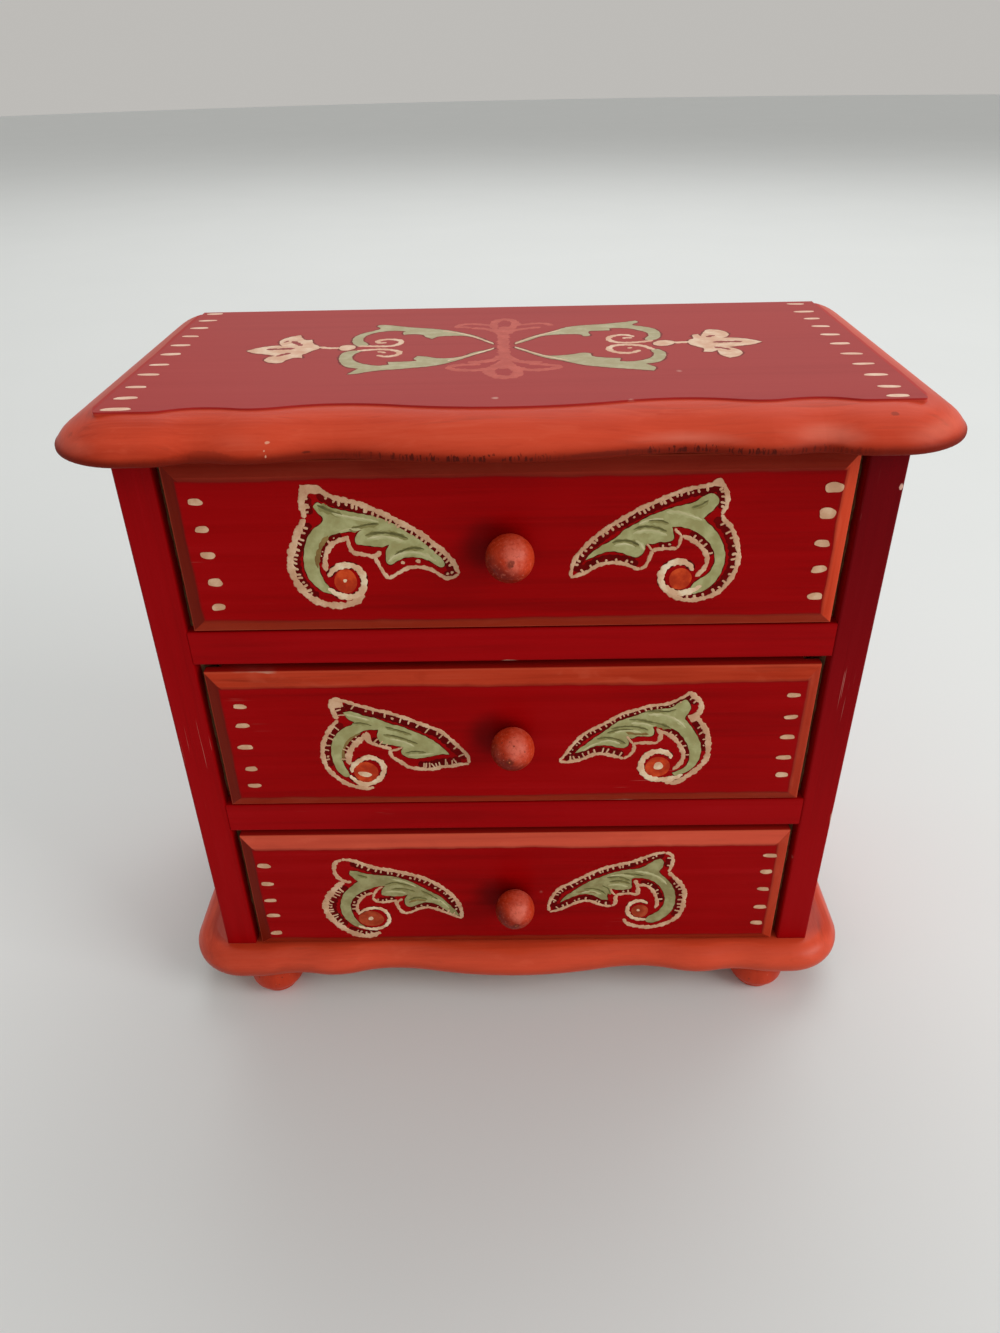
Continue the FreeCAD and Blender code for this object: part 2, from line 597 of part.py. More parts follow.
barrel = rod(BAR_R, (0, ybase(ROOT_W), ARBOR_Z), Y, ROOT_W - 3.8)
barrel = fillet_where(barrel, 0.4, lambda c, d: c.y < ybase(ROOT_W) + 0.01 and abs(d.y) < 0.1)
barrel = barrel.cut(rod(10.0, (0, ybase(10.0), ARBOR_Z), Y, 10.0 - 3.8))
barrel = barrel.cut(rod(2.06, (0, ybase(13.0), ARBOR_Z), Y, 10))
pitch = 2 * math.pi * MEAN_R / FACE_N


def face_tooth(angle):
    r0, r1 = 8.5, 10.35
    out = []
    for w, frac in ((ROOT_W - 0.15, 0.60), (TIP_W, 0.24)):
        h = pitch * frac / 2
        k0, k1 = r0 / MEAN_R, r1 / MEAN_R
        out.append(Part.makePolygon([V(r0, ybase(w), ARBOR_Z - h * k0), V(r1, ybase(w), ARBOR_Z - h * k1),
                                     V(r1, ybase(w), ARBOR_Z + h * k1), V(r0, ybase(w), ARBOR_Z + h * k0),
                                     V(r0, ybase(w), ARBOR_Z - h * k0)]))
    t = Part.makeLoft(out, True, True)
    t.rotate(V(0, 0, ARBOR_Z), Y, angle)
    return t


barrel = barrel.multiFuse([face_tooth((i + 0.5) * 360.0 / FACE_N) for i in range(FACE_N)])
keep("spring_barrel", barrel)
keep("barrel_cap", rod(BAR_R, (0, ybase(3.8), ARBOR_Z), Y, 0.8).cut(rod(2.06, (0, ybase(4.5), ARBOR_Z), Y, 2)))

# mainspring: a flat coil of half turns between the arbor and the barrel's wall
SPRING_T = 0.45
outer_pts, inner_pts = [], []
edges_out, edges_in = [], []
r = 3.2
STEP = 0.42
x_shift = 0.0
sgn = 1


def half_turn(cx, rad, s):
    return Part.Arc(V(cx - s * rad, 0, 0), V(cx, 0, s * rad), V(cx + s * rad, 0, 0))


start = None
last_out = last_in = None
n_half = 14
cx = 0.0
for i in range(n_half):
    s = 1 if i % 2 == 0 else -1
    rad = r + STEP * i
    # the right-hand end of one half turn is the left-hand end of the next, on the same spot
    if i:
        cx = cx - s * (-STEP)
    edges_out.append(half_turn(cx, rad + SPRING_T / 2, s).toShape())
    edges_in.append(half_turn(cx, rad - SPRING_T / 2, s).toShape())
wo = edges_out
wi = edges_in
a0, a1 = wo[0].Vertexes[0].Point, wi[0].Vertexes[0].Point
b0_, b1_ = wo[-1].Vertexes[-1].Point, wi[-1].Vertexes[-1].Point
loop = Part.Wire(Part.__sortEdges__(wo + wi + [Part.makeLine(a0, a1), Part.makeLine(b0_, b1_)]))
spring = Part.Face(loop).extrude(V(0, 5.6, 0))
spring.translate(V(0, ybase(9.7), ARBOR_Z))
keep("mainspring", spring)

# winding arbor and key
arb = rod(2.0, (0, ybase(12.0), ARBOR_Z), Y, 12.0 + 10.0)
keep("winding_arbor", arb)
KEY_TILT = 24.0
hub = rod(3.4, (0, 107.6, ARBOR_Z), Y, 7.4)
hub = fillet_where(hub, 0.5, lambda c, d: c.y < 107.7 and abs(d.y) < 0.1)
wing = None
for sx in (-1, 1):
    lobe = rod(6.2, (sx * 6.6, 118.3, ARBOR_Z - 0.8), Z, 1.6)
    wing = lobe if wing is None else wing.fuse(lobe)
wing = wing.fuse(box(-4.2, 4.2, 112.6, 121.0, ARBOR_Z - 0.8, ARBOR_Z + 0.8))
for sx in (-1, 1):
    wing = wing.cut(rod(2.7, (sx * 7.4, 118.5, ARBOR_Z - 2), Z, 4))
wing = wing.removeSplitter()
key = hub.fuse(wing).removeSplitter()
key = key.cut(rod(2.0, (0, 107.0, ARBOR_Z), Y, 5.0))
key.rotate(V(0, 0, ARBOR_Z), Y, KEY_TILT)
keep("winding_key", key)

# stop lever: pivots behind the partition; its feeler reaches through the slot to the
# closed top drawer, and its tip stands just clear of the circle the fly sweeps
PIV = (76.0, 78.0)
brk = box(70.0, 82.0, 69.0, 70.0, STOP_Z - 7, STOP_Z + 7)
brk = brk.fuse([box(73.2, 78.8, 69.0, 80.8, STOP_Z + 2.0, STOP_Z + 3.0), box(73.2, 78.8, 69.0, 80.8, STOP_Z - 3.0, STOP_Z - 2.0)]).removeSplitter()
brk = brk.cut(rod(0.8, (PIV[0], PIV[1], STOP_Z - 8), Z, 16))
LEVER_SCREWS = [(76.0, STOP_Z + 5.2), (76.0, STOP_Z - 5.2)]
for x, z in LEVER_SCREWS:
    brk = brk.cut(rod(0.7, (x, 68, z), Y, 3))
    part_board = part_board.cut(rod(0.7, (x, 66.6, z), Y, 3))
keep("movement_partition", part_board)
keep("lever_bracket", brk)
ls = small_screw(0.7, 3.2, 1.2, 0.7)
ls.rotate(V(0, 0, 0), Z, 180)
keep("lever_screws", group(ls, [(x, 70.0, z) for x, z in LEVER_SCREWS], [15, 70]))
keep("lever_pin", rod(0.8, (PIV[0], PIV[1], STOP_Z - 3.6), Z, 7.2))
eye = rod(2.0, (PIV[0], PIV[1], STOP_Z - 1.6), Z, 3.2)
arm = box(48.0, 75.5, 77.6, 78.4, STOP_Z - 1.6, STOP_Z + 1.6)
tip = box(48.0, 48.8, 77.6, 81.5, STOP_Z - 1.6, STOP_Z + 1.6)
feeler = box(61.6, 62.4, 65.2, 78.4, STOP_Z - 1.6, STOP_Z + 1.6).fuse(rod(0.8, (62.0, 65.2, STOP_Z - 1.6), Z, 3.2))
lever = fuse([eye, arm, tip, feeler])
lever = lever.cut(rod(0.86, (PIV[0], PIV[1], STOP_Z - 3), Z, 6))
keep("stop_lever", lever)

# ---------------------------------------------------------------------------
# Move to the part's own frame and write the files
# ---------------------------------------------------------------------------
Y_MIN = KNOB_Y - KNOB_R
Y_MAX = KEY_END_Y
OFFSET = V(0, -(Y_MIN + Y_MAX) / 2, BASE_T + FOOT_H)

total = Part.makeCompound([s for s in shapes.values()])
bb = total.optimalBoundingBox(False)
print("box in working coordinates", [round(v, 3) for v in (bb.XMin, bb.XMax, bb.YMin, bb.YMax, bb.ZMin, bb.ZMax)])
for name, s in shapes.items():
    s = s.copy()
    s.translate(OFFSET)
    if not s.isValid():
        print("NOT VALID", name)
    s.exportStep("parts/%s.step" % name)
    print("%-28s solids %d  volume %.1f" % (name, len(s.Solids), s.Volume))
print("offset", OFFSET, "nodes", len(shapes))
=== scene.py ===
import bpy
import bmesh
import math
import random
from mathutils import Vector, Matrix


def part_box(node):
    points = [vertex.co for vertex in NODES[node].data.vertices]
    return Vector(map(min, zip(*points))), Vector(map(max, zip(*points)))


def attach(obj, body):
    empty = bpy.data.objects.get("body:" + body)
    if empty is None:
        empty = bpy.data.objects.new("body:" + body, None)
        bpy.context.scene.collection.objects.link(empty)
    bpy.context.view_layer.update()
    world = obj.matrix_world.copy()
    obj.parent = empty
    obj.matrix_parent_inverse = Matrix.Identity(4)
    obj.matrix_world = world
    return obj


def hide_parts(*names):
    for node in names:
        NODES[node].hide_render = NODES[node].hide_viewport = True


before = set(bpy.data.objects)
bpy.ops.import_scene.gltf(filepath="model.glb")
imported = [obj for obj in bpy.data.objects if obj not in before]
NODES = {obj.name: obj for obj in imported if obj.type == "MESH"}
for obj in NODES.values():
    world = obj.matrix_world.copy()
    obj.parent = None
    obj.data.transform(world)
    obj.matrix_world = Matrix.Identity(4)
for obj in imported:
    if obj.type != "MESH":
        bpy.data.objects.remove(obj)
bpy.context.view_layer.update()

# ---------------------------------------------------------------------------
# Working millimetres of the drawing -> metres of the row frame
# (X right, Y back from the case front, Z up from the base board's upper face)
# ---------------------------------------------------------------------------
OFF_Y, OFF_Z = -55.325, 21.0


def W(x, y, z):
    return Vector((x / 1000.0, (y + OFF_Y) / 1000.0, (z + OFF_Z) / 1000.0))


# ---------------------------------------------------------------------------
# Camera: where the photograph was taken from
# ---------------------------------------------------------------------------
PITCH, YAW, ROLL = math.radians(32.57), math.radians(-0.951), math.radians(-1.291)
fwd = Vector((math.sin(YAW) * math.cos(PITCH), math.cos(YAW) * math.cos(PITCH), -math.sin(PITCH)))
rgt = Vector((math.cos(YAW), -math.sin(YAW), 0.0))
up = rgt.cross(fwd)
r2 = rgt * math.cos(ROLL) + up * math.sin(ROLL)
u2 = up * math.cos(ROLL) - rgt * math.sin(ROLL)
cam_data = bpy.data.cameras.new("camera")
cam = bpy.data.objects.new("camera", cam_data)
bpy.context.scene.collection.objects.link(cam)
cam_data.sensor_width = 36.0
cam_data.lens = 966.126 / 1333.0 * 36.0
cam_data.clip_start, cam_data.clip_end = 0.01, 20.0
m = Matrix.Identity(4)
for i, v in enumerate((r2, u2, -fwd)):
    for j in range(3):
        m[j][i] = v[j]
m.translation = W(0.6, -230.67, 260.101)
cam.matrix_world = m
bpy.context.scene.camera = cam
bpy.context.scene.view_settings.view_transform = "Standard"

# ---------------------------------------------------------------------------
# Material builder and colours
# ---------------------------------------------------------------------------


def lin(r, g, b):
    """sRGB 0..255 -> linear."""
    def f(c):
        c /= 255.0
        return c / 12.92 if c <= 0.04045 else ((c + 0.055) / 1.055) ** 2.4
    return (f(r), f(g), f(b), 1.0)


class Mat:
    """A small builder for procedural materials in object coordinates (metres of the row frame)."""

    def __init__(self, name):
        self.mat = bpy.data.materials.new(name)
        self.mat.use_nodes = True
        self.tree = self.mat.node_tree
        self.tree.nodes.clear()
        out = self.node("ShaderNodeOutputMaterial")
        self.bsdf = self.node("ShaderNodeBsdfPrincipled")
        self.tree.links.new(self.bsdf.outputs[0], out.inputs["Surface"])
        tc = self.node("ShaderNodeTexCoord")
        self.co = tc.outputs["Object"]
        sep = self.node("ShaderNodeSeparateXYZ")
        self.tree.links.new(self.co, sep.inputs[0])
        self.x, self.y, self.z = sep.outputs

    def node(self, kind):
        return self.tree.nodes.new(kind)

    def put(self, socket, value):
        if isinstance(value, bpy.types.NodeSocket):
            self.tree.links.new(value, socket)
        else:
            socket.default_value = value

    def math(self, op, a, b=None, c=None, clamp=False):
        n = self.node("ShaderNodeMath")
        n.operation = op
        n.use_clamp = clamp
        for i, v in enumerate((a, b, c)):
            if v is not None:
                self.put(n.inputs[i], v)
        return n.outputs[0]

    def add(self, a, b):
        return self.math("ADD", a, b)

    def sub(self, a, b):
        return self.math("SUBTRACT", a, b)

    def mul(self, a, b):
        return self.math("MULTIPLY", a, b)

    def mad(self, a, b, c):
        return self.math("MULTIPLY_ADD", a, b, c)

    def lo(self, a, b):
        return self.math("MINIMUM", a, b)

    def hi(self, a, b):
        return self.math("MAXIMUM", a, b)

    def inv(self, a):
        return self.math("SUBTRACT", 1.0, a)

    def step(self, v, a, b, out0=0.0, out1=1.0, smooth=True):
        """0 at a, 1 at b, clamped."""
        n = self.node("ShaderNodeMapRange")
        n.interpolation_type = "SMOOTHSTEP" if smooth else "LINEAR"
        n.clamp = True
        self.put(n.inputs["Value"], v)
        self.put(n.inputs["From Min"], a)
        self.put(n.inputs["From Max"], b)
        self.put(n.inputs["To Min"], out0)
        self.put(n.inputs["To Max"], out1)
        return n.outputs[0]

    def mix(self, fac, a, b, kind="MIX"):
        n = self.node("ShaderNodeMix")
        n.data_type = "RGBA"
        n.blend_type = kind
        n.clamp_result = False
        self.put(n.inputs["Factor"], fac)
        self.put(n.inputs[6], a)
        self.put(n.inputs[7], b)
        return n.outputs[2]

    def vec(self, scale, offset=(0.0, 0.0, 0.0), src=None):
        n = self.node("ShaderNodeVectorMath")
        n.operation = "MULTIPLY_ADD"
        self.put(n.inputs[0], src or self.co)
        n.inputs[1].default_value = scale
        n.inputs[2].default_value = offset
        return n.outputs[0]

    def noise(self, scale, detail=3.0, rough=0.55, seed=0.0, distort=0.0, src=None):
        """scale: features per metre along X, Y, Z."""
        if isinstance(scale, (int, float)):
            scale = (scale, scale, scale)
        n = self.node("ShaderNodeTexNoise")
        self.put(n.inputs["Vector"], self.vec(scale, (seed * 3.17, seed * 7.31, seed * 1.93), src))
        n.inputs["Scale"].default_value = 1.0
        n.inputs["Detail"].default_value = detail
        n.inputs["Roughness"].default_value = rough
        n.inputs["Distortion"].default_value = distort
        return n.outputs[0]

    def cells(self, scale, seed=0.0, feature="F1", rand=1.0, src=None):
        if isinstance(scale, (int, float)):
            scale = (scale, scale, scale)
        n = self.node("ShaderNodeTexVoronoi")
        n.feature = feature
        self.put(n.inputs["Vector"], self.vec(scale, (seed * 5.1, seed * 2.7, seed * 9.3), src))
        n.inputs["Scale"].default_value = 1.0
        n.inputs["Randomness"].default_value = rand
        return n.outputs["Distance"], n.outputs["Color"]

    def bump(self, height, dist, strength=1.0, normal=None):
        n = self.node("ShaderNodeBump")
        n.inputs["Strength"].default_value = strength
        n.inputs["Distance"].default_value = dist
        self.put(n.inputs["Height"], height)
        if normal is not None:
            self.put(n.inputs["Normal"], normal)
        return n.outputs[0]

    def edge_mm(self, lo, hi):
        """Distance in mm to the nearest edge of the axis-aligned box lo..hi, for points on its faces."""
        d = []
        for c, a, b in zip((self.x, self.y, self.z), lo, hi):
            d.append(self.lo(self.math("ABSOLUTE", self.sub(c, a)), self.math("ABSOLUTE", self.sub(c, b))))
        mid = self.hi(self.lo(d[0], d[1]), self.lo(self.hi(d[0], d[1]), d[2]))
        return self.mul(mid, 1000.0)

    def mark(self, c, u, v, centre, size, colour, amount, seed, ragged=0.9):
        """A single chip or scuff: an uneven spot round centre, u and v in mm."""
        du = self.mul(self.sub(u, centre[0]), 1.0 / size[0])
        dv = self.mul(self.sub(v, centre[1]), 1.0 / size[1])
        d = self.math("SQRT", self.mad(du, du, self.mul(dv, dv)))
        n = self.mul(self.sub(self.noise(900.0, 3, 0.7, seed), 0.5), ragged)
        return self.mix(self.mul(self.step(self.add(d, n), 1.0, 0.62), amount), c, colour)

    def finish(self, color, rough, normal=None, metallic=0.0, spec=0.5, ior=1.45, coat=0.0, coat_rough=0.1,
               sheen=0.0, sheen_rough=0.5, aniso=0.0):
        b = self.bsdf
        self.put(b.inputs["Base Color"], color)
        self.put(b.inputs["Roughness"], rough)
        if normal is not None:
            self.put(b.inputs["Normal"], normal)
        self.put(b.inputs["Metallic"], metallic)
        b.inputs["Specular IOR Level"].default_value = spec
        b.inputs["IOR"].default_value = ior
        b.inputs["Coat Weight"].default_value = coat
        b.inputs["Coat Roughness"].default_value = coat_rough
        b.inputs["Sheen Weight"].default_value = sheen
        b.inputs["Sheen Roughness"].default_value = sheen_rough
        b.inputs["Anisotropic"].default_value = aniso
        return self.mat


# colours (linear albedo)
RED = (0.365, 0.0010, 0.0026, 1.0)
RED_DEEP = (0.285, 0.0008, 0.0018, 1.0)
RED_LIGHT = (0.41, 0.0045, 0.008, 1.0)
ORANGE = (0.63, 0.060, 0.021, 1.0)
ORANGE_DEEP = (0.45, 0.030, 0.007, 1.0)
ORANGE_LIGHT = (0.74, 0.115, 0.055, 1.0)
BROWN = (0.10, 0.018, 0.008, 1.0)
PRIMER = (0.62, 0.45, 0.33, 1.0)
CREAM = (0.72, 0.44, 0.27, 1.0)
CREAM_DARK = (0.60, 0.34, 0.20, 1.0)
SAGE = (0.430, 0.425, 0.195, 1.0)
SAGE_DARK = (0.13, 0.15, 0.06, 1.0)
SAGE_LIGHT = (0.46, 0.49, 0.28, 1.0)
CORAL = (0.52, 0.055, 0.035, 1.0)
DOT = (0.66, 0.062, 0.012, 1.0)


def streak_scale(axis, along, across):
    """Noise scale with long features along the axis."""
    return tuple(along if a == axis else across for a in "XYZ")


def brushed(g, axis, seed, dark, mid, light, contrast=1.0):
    """Hand-brushed paint: broad blotches, long soft streaks along the grain and fine bristle lines.
    Returns colour, fine height, blotch value."""
    broad = g.noise(14.0, 3, 0.55, seed)
    streak = g.noise(streak_scale(axis, 9.0, 260.0), 4, 0.6, seed + 1.0, 0.3)
    fine = g.noise(streak_scale(axis, 30.0, 1500.0), 2, 0.5, seed + 2.0)
    v = g.mad(streak, 0.55, g.mul(broad, 0.45))
    c = g.mix(g.step(v, 0.50 - 0.20 / contrast, 0.50 + 0.04), dark, mid)
    c = g.mix(g.mul(g.step(v, 0.50, 0.50 + 0.22 / contrast), 0.6), c, light)
    c = g.mix(g.mul(g.step(fine, 0.55, 0.75), 0.18), c, light)
    c = g.mix(g.mul(g.step(fine, 0.45, 0.25), 0.22), c, dark)
    height = g.mad(fine, 0.5, g.mul(streak, 0.9))
    return c, height, broad


def specks(g, density, size, seed, thr=0.93):
    """Sparse small chips: random cells whose own number is high, cut to a small radius."""
    dist, col = g.cells(density, seed)
    sep = g.node("ShaderNodeSeparateColor")
    g.tree.links.new(col, sep.inputs[0])
    pick = g.math("GREATER_THAN", sep.outputs[0], thr)
    wob = g.noise(density * 6.0, 2, 0.6, seed + 4.0)
    r = g.mad(wob, size, g.mul(sep.outputs[1], size * 0.6))
    return g.mul(pick, g.step(dist, r, g.mul(r, 0.55)))


def wood(g, axis, seed, light=(0.60, 0.41, 0.23, 1.0), mid=(0.48, 0.30, 0.15, 1.0), dark=(0.27, 0.15, 0.07, 1.0)):
    """Plain softwood: growth rings drawn out along the grain, pores and fine fibres."""
    warp = g.noise(streak_scale(axis, 5.0, 45.0), 3, 0.5, seed)
    rings = g.math("SINE", g.mul(warp, 70.0))
    ring = g.step(rings, -0.2, 1.0)
    fibre = g.noise(streak_scale(axis, 18.0, 1300.0), 3, 0.6, seed + 1.3)
    pore = g.noise(streak_scale(axis, 60.0, 2600.0), 1, 0.5, seed + 2.3)
    c = g.mix(g.mul(ring, 0.6), light, mid)
    c = g.mix(g.mul(g.step(fibre, 0.5, 0.8), 0.55), c, dark)
    c = g.mix(g.mul(g.step(pore, 0.64, 0.78), 0.5), c, dark)
    broad = g.noise(9.0, 2, 0.5, seed + 5)
    c = g.mix(g.mul(g.step(broad, 0.45, 0.75), 0.35), c, mid)
    height = g.sub(g.mul(fibre, 0.6), g.mul(pore, 0.5))
    return c, height


def wear_mask(g, edge, seed, width=0.55, gate_scale=18.0, gate=(0.56, 0.66), fine=240.0):
    """Paint rubbed off along an edge in broken stretches."""
    gates = g.step(g.noise(gate_scale, 3, 0.6, seed), gate[0], gate[1])
    wob = g.noise(fine, 3, 0.65, seed + 3)
    thr = g.mul(g.mul(gates, wob), width * 2.0)
    return g.step(edge, g.add(thr, 0.08), thr)


def red_board(node, axis, seed, interior=None, wear=0.7, spec=0.05, rough0=0.42, front_shade=None, marks=()):
    """Red painted board; interior(g) gives a 0..1 mask of the unpainted inside."""
    lo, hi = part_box(node)
    g = Mat("paint_" + node)
    c, h, broad = brushed(g, axis, seed, RED_DEEP, RED, RED_LIGHT)
    edge = g.edge_mm(lo, hi)
    # thin paint just at the arrises shows darker, rubbed stretches show the pale ground
    c = g.mix(g.mul(g.step(edge, 1.6, 0.2), 0.35), c, RED_DEEP)
    w = wear_mask(g, edge, seed + 9, wear * 0.62, 26.0, (0.60, 0.70))
    c = g.mix(g.mul(w, 0.62), c, PRIMER)
    if front_shade is not None:
        # painted shade on the front edge, deepest at the top
        front = g.step(g.mad(g.y, 1000.0, -OFF_Y), 1.6, 0.2)
        rise = g.step(g.mad(g.z, 1000.0, -OFF_Z), 20.0, 175.0, front_shade[0], front_shade[1])
        c = g.mix(g.mul(front, rise), c, (0.085, 0.0006, 0.0035, 1.0))
    for centre, size, amount in marks:
        c = g.mark(c, g.mul(g.x, 1000.0), g.mad(g.z, 1000.0, -OFF_Z), centre, size, (0.80, 0.50, 0.40, 1.0), amount, seed + 61)
    dust = specks(g, 95.0, 0.10, seed + 2, 0.90)
    c = g.mix(g.mul(dust, 0.55), c, (0.42, 0.12, 0.10, 1.0))
    scr = g.noise(streak_scale(axis, 40.0, 2200.0), 1, 0.4, seed + 11)
    gate = g.step(g.noise(28.0, 2, 0.5, seed + 12), 0.58, 0.66)
    c = g.mix(g.mul(g.mul(g.step(scr, 0.70, 0.74), gate), 0.5), c, (0.55, 0.22, 0.18, 1.0))
    height = g.sub(h, g.mul(w, 1.5))
    rough = g.mad(broad, 0.20, rough0 - 0.10)
    if interior is not None:
        mask = interior(g)
        wc, wh = wood(g, axis, seed + 21)
        c = g.mix(mask, c, wc)
        height = g.add(g.mul(height, g.inv(mask)), g.mul(wh, mask))
        rough = g.add(g.mul(rough, g.inv(mask)), g.mul(mask, 0.72))
    n = g.bump(height, 0.00012, 0.55)
    mat = g.finish(c, rough, n, spec=spec)
    set_material(NODES[node], mat)
    return mat


def set_material(obj, mat):
    obj.data.materials.clear()
    obj.data.materials.append(mat)


# ---------------------------------------------------------------------------
# Carcass
# ---------------------------------------------------------------------------


def ragged(g, seed, amp=1.6):
    """Uneven end of the paint, in mm."""
    return g.mul(g.sub(g.noise(120.0, 3, 0.6, seed), 0.5), amp * 2)


def inside_side(sign):
    def f(g):
        xin = g.mul(g.math("ABSOLUTE", g.x), 1000.0)
        y = g.add(g.mad(g.y, 1000.0, -OFF_Y), ragged(g, 31 + sign))
        face = g.step(xin, 90.12, 90.02)
        groove = g.step(xin, 92.7, 92.5)
        return g.mul(g.hi(face, g.mul(groove, g.step(y, 5.6, 5.9))), g.step(y, 4.2, 5.0))
    return f


def inside_shelf(g):
    y = g.add(g.mad(g.y, 1000.0, -OFF_Y), ragged(g, 37, 2.4))
    return g.step(y, 4.6, 5.6)


def inside_back(g):
    # only the inner face; the panel's edges are painted with the sides
    y = g.mad(g.y, 1000.0, -OFF_Y)
    return g.mul(g.step(y, 102.16, 102.06), g.step(g.mul(g.math("ABSOLUTE", g.x), 1000.0), 99.9, 99.8))


# the stiles' fronts get painted shade, heavy on the right stile
red_board("left_side", "Z", 1.0, inside_side(-1), wear=0.85, front_shade=(0.0, 0.12))
red_board("right_side", "Z", 2.0, inside_side(1), wear=0.85, front_shade=(0.05, 0.74), marks=[((99.2, 165.0), (0.55, 1.0), 0.9)])
red_board("lower_shelf", "X", 3.0, inside_shelf, wear=0.8)
red_board("upper_shelf", "X", 4.0, inside_shelf, wear=0.8)
red_board("back_panel", "X", 5.0, inside_back, wear=0.4, rough0=0.5)


def orange_paint(g, axis, seed, low_z=None, height_z=None, glaze=1.0):
    """Orange-red paint dragged along the grain with a brown glaze left in the low places."""
    c, h, broad = brushed(g, axis, seed, ORANGE_DEEP, ORANGE, ORANGE_LIGHT, 0.9)
    smear = g.noise(streak_scale(axis, 16.0, 330.0), 4, 0.65, seed + 14, 0.6)
    c = g.mix(g.mul(g.step(smear, 0.56, 0.74), 0.38 * glaze), c, BROWN)
    # dabs of the brush: small cloudy patches, lighter and darker
    dab = g.noise(streak_scale(axis, 70.0, 190.0), 3, 0.6, seed + 17, 0.8)
    c = g.mix(g.mul(g.step(dab, 0.55, 0.72), 0.32), c, ORANGE_LIGHT)
    c = g.mix(g.mul(g.step(dab, 0.45, 0.30), 0.34), c, ORANGE_DEEP)
    if low_z is not None:
        low = g.step(g.z, height_z, low_z)
        grain = g.noise(streak_scale(axis, 55.0, 700.0), 3, 0.7, seed + 15)
        c = g.mix(g.mul(low, g.step(grain, 0.28, 0.62, 0.45, 0.95)), c, (0.20, 0.022, 0.008, 1.0))
    return c, h, broad


# top board: red field, orange moulding ---------------------------------------
TOP_Z = (187.4 + OFF_Z) / 1000.0
g = Mat("paint_top_board")
# the paint's edge lies at the foot of the step, at the ends a little further out
ends = g.step(g.mul(g.math("ABSOLUTE", g.x), 1000.0), 101.3, 101.7)
past = g.mad(g.noise((30.0, 26.0, 30.0), 3, 0.6, 5.3), 0.9, -0.05)
drop = g.mul(g.add(0.5, g.mul(ends, past)), 0.001)
inner = g.math("LESS_THAN", g.mul(g.math("ABSOLUTE", g.x), 1000.0), 101.75)
near = g.math("LESS_THAN", g.mad(g.y, 1000.0, -OFF_Y), 9.7)
drop = g.hi(drop, g.mul(g.mul(g.mul(ends, near), inner), 0.00130))
field = g.step(g.z, g.sub(TOP_Z - 0.00005, drop), g.sub(TOP_Z + 0.00010, drop))
# the field's red is mixed paler and pinker than the red elsewhere: painted sheen
fc, fh, fb = brushed(g, "X", 6.0, (0.375, 0.036, 0.035, 1.0), (0.405, 0.042, 0.040, 1.0), (0.43, 0.049, 0.046, 1.0))
dust = specks(g, 60.0, 0.085, 6.5, 0.86)
fc = g.mix(g.mul(dust, 0.7), fc, (0.66, 0.36, 0.30, 1.0))
# orange moulding, streaks run round with the edge: along X at the front, along Y at the sides
ax = g.mul(g.math("ABSOLUTE", g.x), 1000.0)
yy = g.mad(g.y, 1000.0, -OFF_Y)
is_side = g.step(g.sub(ax, g.sub(101.6, g.lo(yy, 8.0))), -3.0, 3.0)
cf, hf, bf = orange_paint(g, "X", 7.0)
cs, hs, bs = orange_paint(g, "Y", 8.0)
oc = g.mix(is_side, cf, cs)
oh = g.add(g.mul(hf, g.inv(is_side)), g.mul(hs, is_side))
# darker towards the lower edge: thin paint there, where the wood's grain shows as short dark ticks, and painted shade
# where the moulding turns under
zz = g.mad(g.z, 1000.0, -OFF_Z)
wobble = g.mul(g.sub(g.noise((22.0, 22.0, 8.0), 3, 0.6, 9.0), 0.5), 3.6)
low = g.step(g.add(zz, wobble), 182.2, 179.2)
oc = g.mix(g.mul(low, 0.60), oc, (0.32, 0.020, 0.004, 1.0))
# painted shade on the underside of the moulding
under = g.step(g.add(zz, g.mul(wobble, 0.45)), 180.5, 178.7)
oc = g.mix(g.mul(under, 0.85), oc, (0.150, 0.0065, 0.0010, 1.0))
# painted shade: the sides, seen flat from the front, are painted darker and duller
oc = g.mix(g.mul(g.mul(is_side, g.step(zz, 183.5, 186.2)), 0.45), oc, (0.42, 0.055, 0.042, 1.0))
# open grain at the lower edge: short dark upright ticks from the middle to the right
xx = g.mul(g.x, 1000.0)
tick = g.noise((1750.0, 1750.0, 120.0), 2, 0.6, 10.0)
reach = g.mad(g.noise((900.0, 900.0, 8.0), 2, 0.6, 13.0), 3.2, 178.2)
span = g.mul(g.step(xx, -48.0, -18.0), g.step(xx, 92.0, 70.0))
tick_gate = g.step(g.noise((24.0, 24.0, 4.0), 2, 0.5, 11.0), 0.36, 0.52)
band = g.mul(g.step(zz, reach, g.sub(reach, 0.5)), g.step(zz, 177.8, 178.5))
ticks = g.mul(g.mul(g.mul(g.step(tick, 0.50, 0.57), tick_gate), band), g.mad(span, 0.9, 0.1))
oc = g.mix(g.mul(ticks, 0.92), oc, (0.075, 0.005, 0.002, 1.0))
chip = specks(g, 42.0, 0.075, 12.0, 0.93)
oc = g.mix(g.mul(chip, 0.85), oc, (0.78, 0.50, 0.36, 1.0))
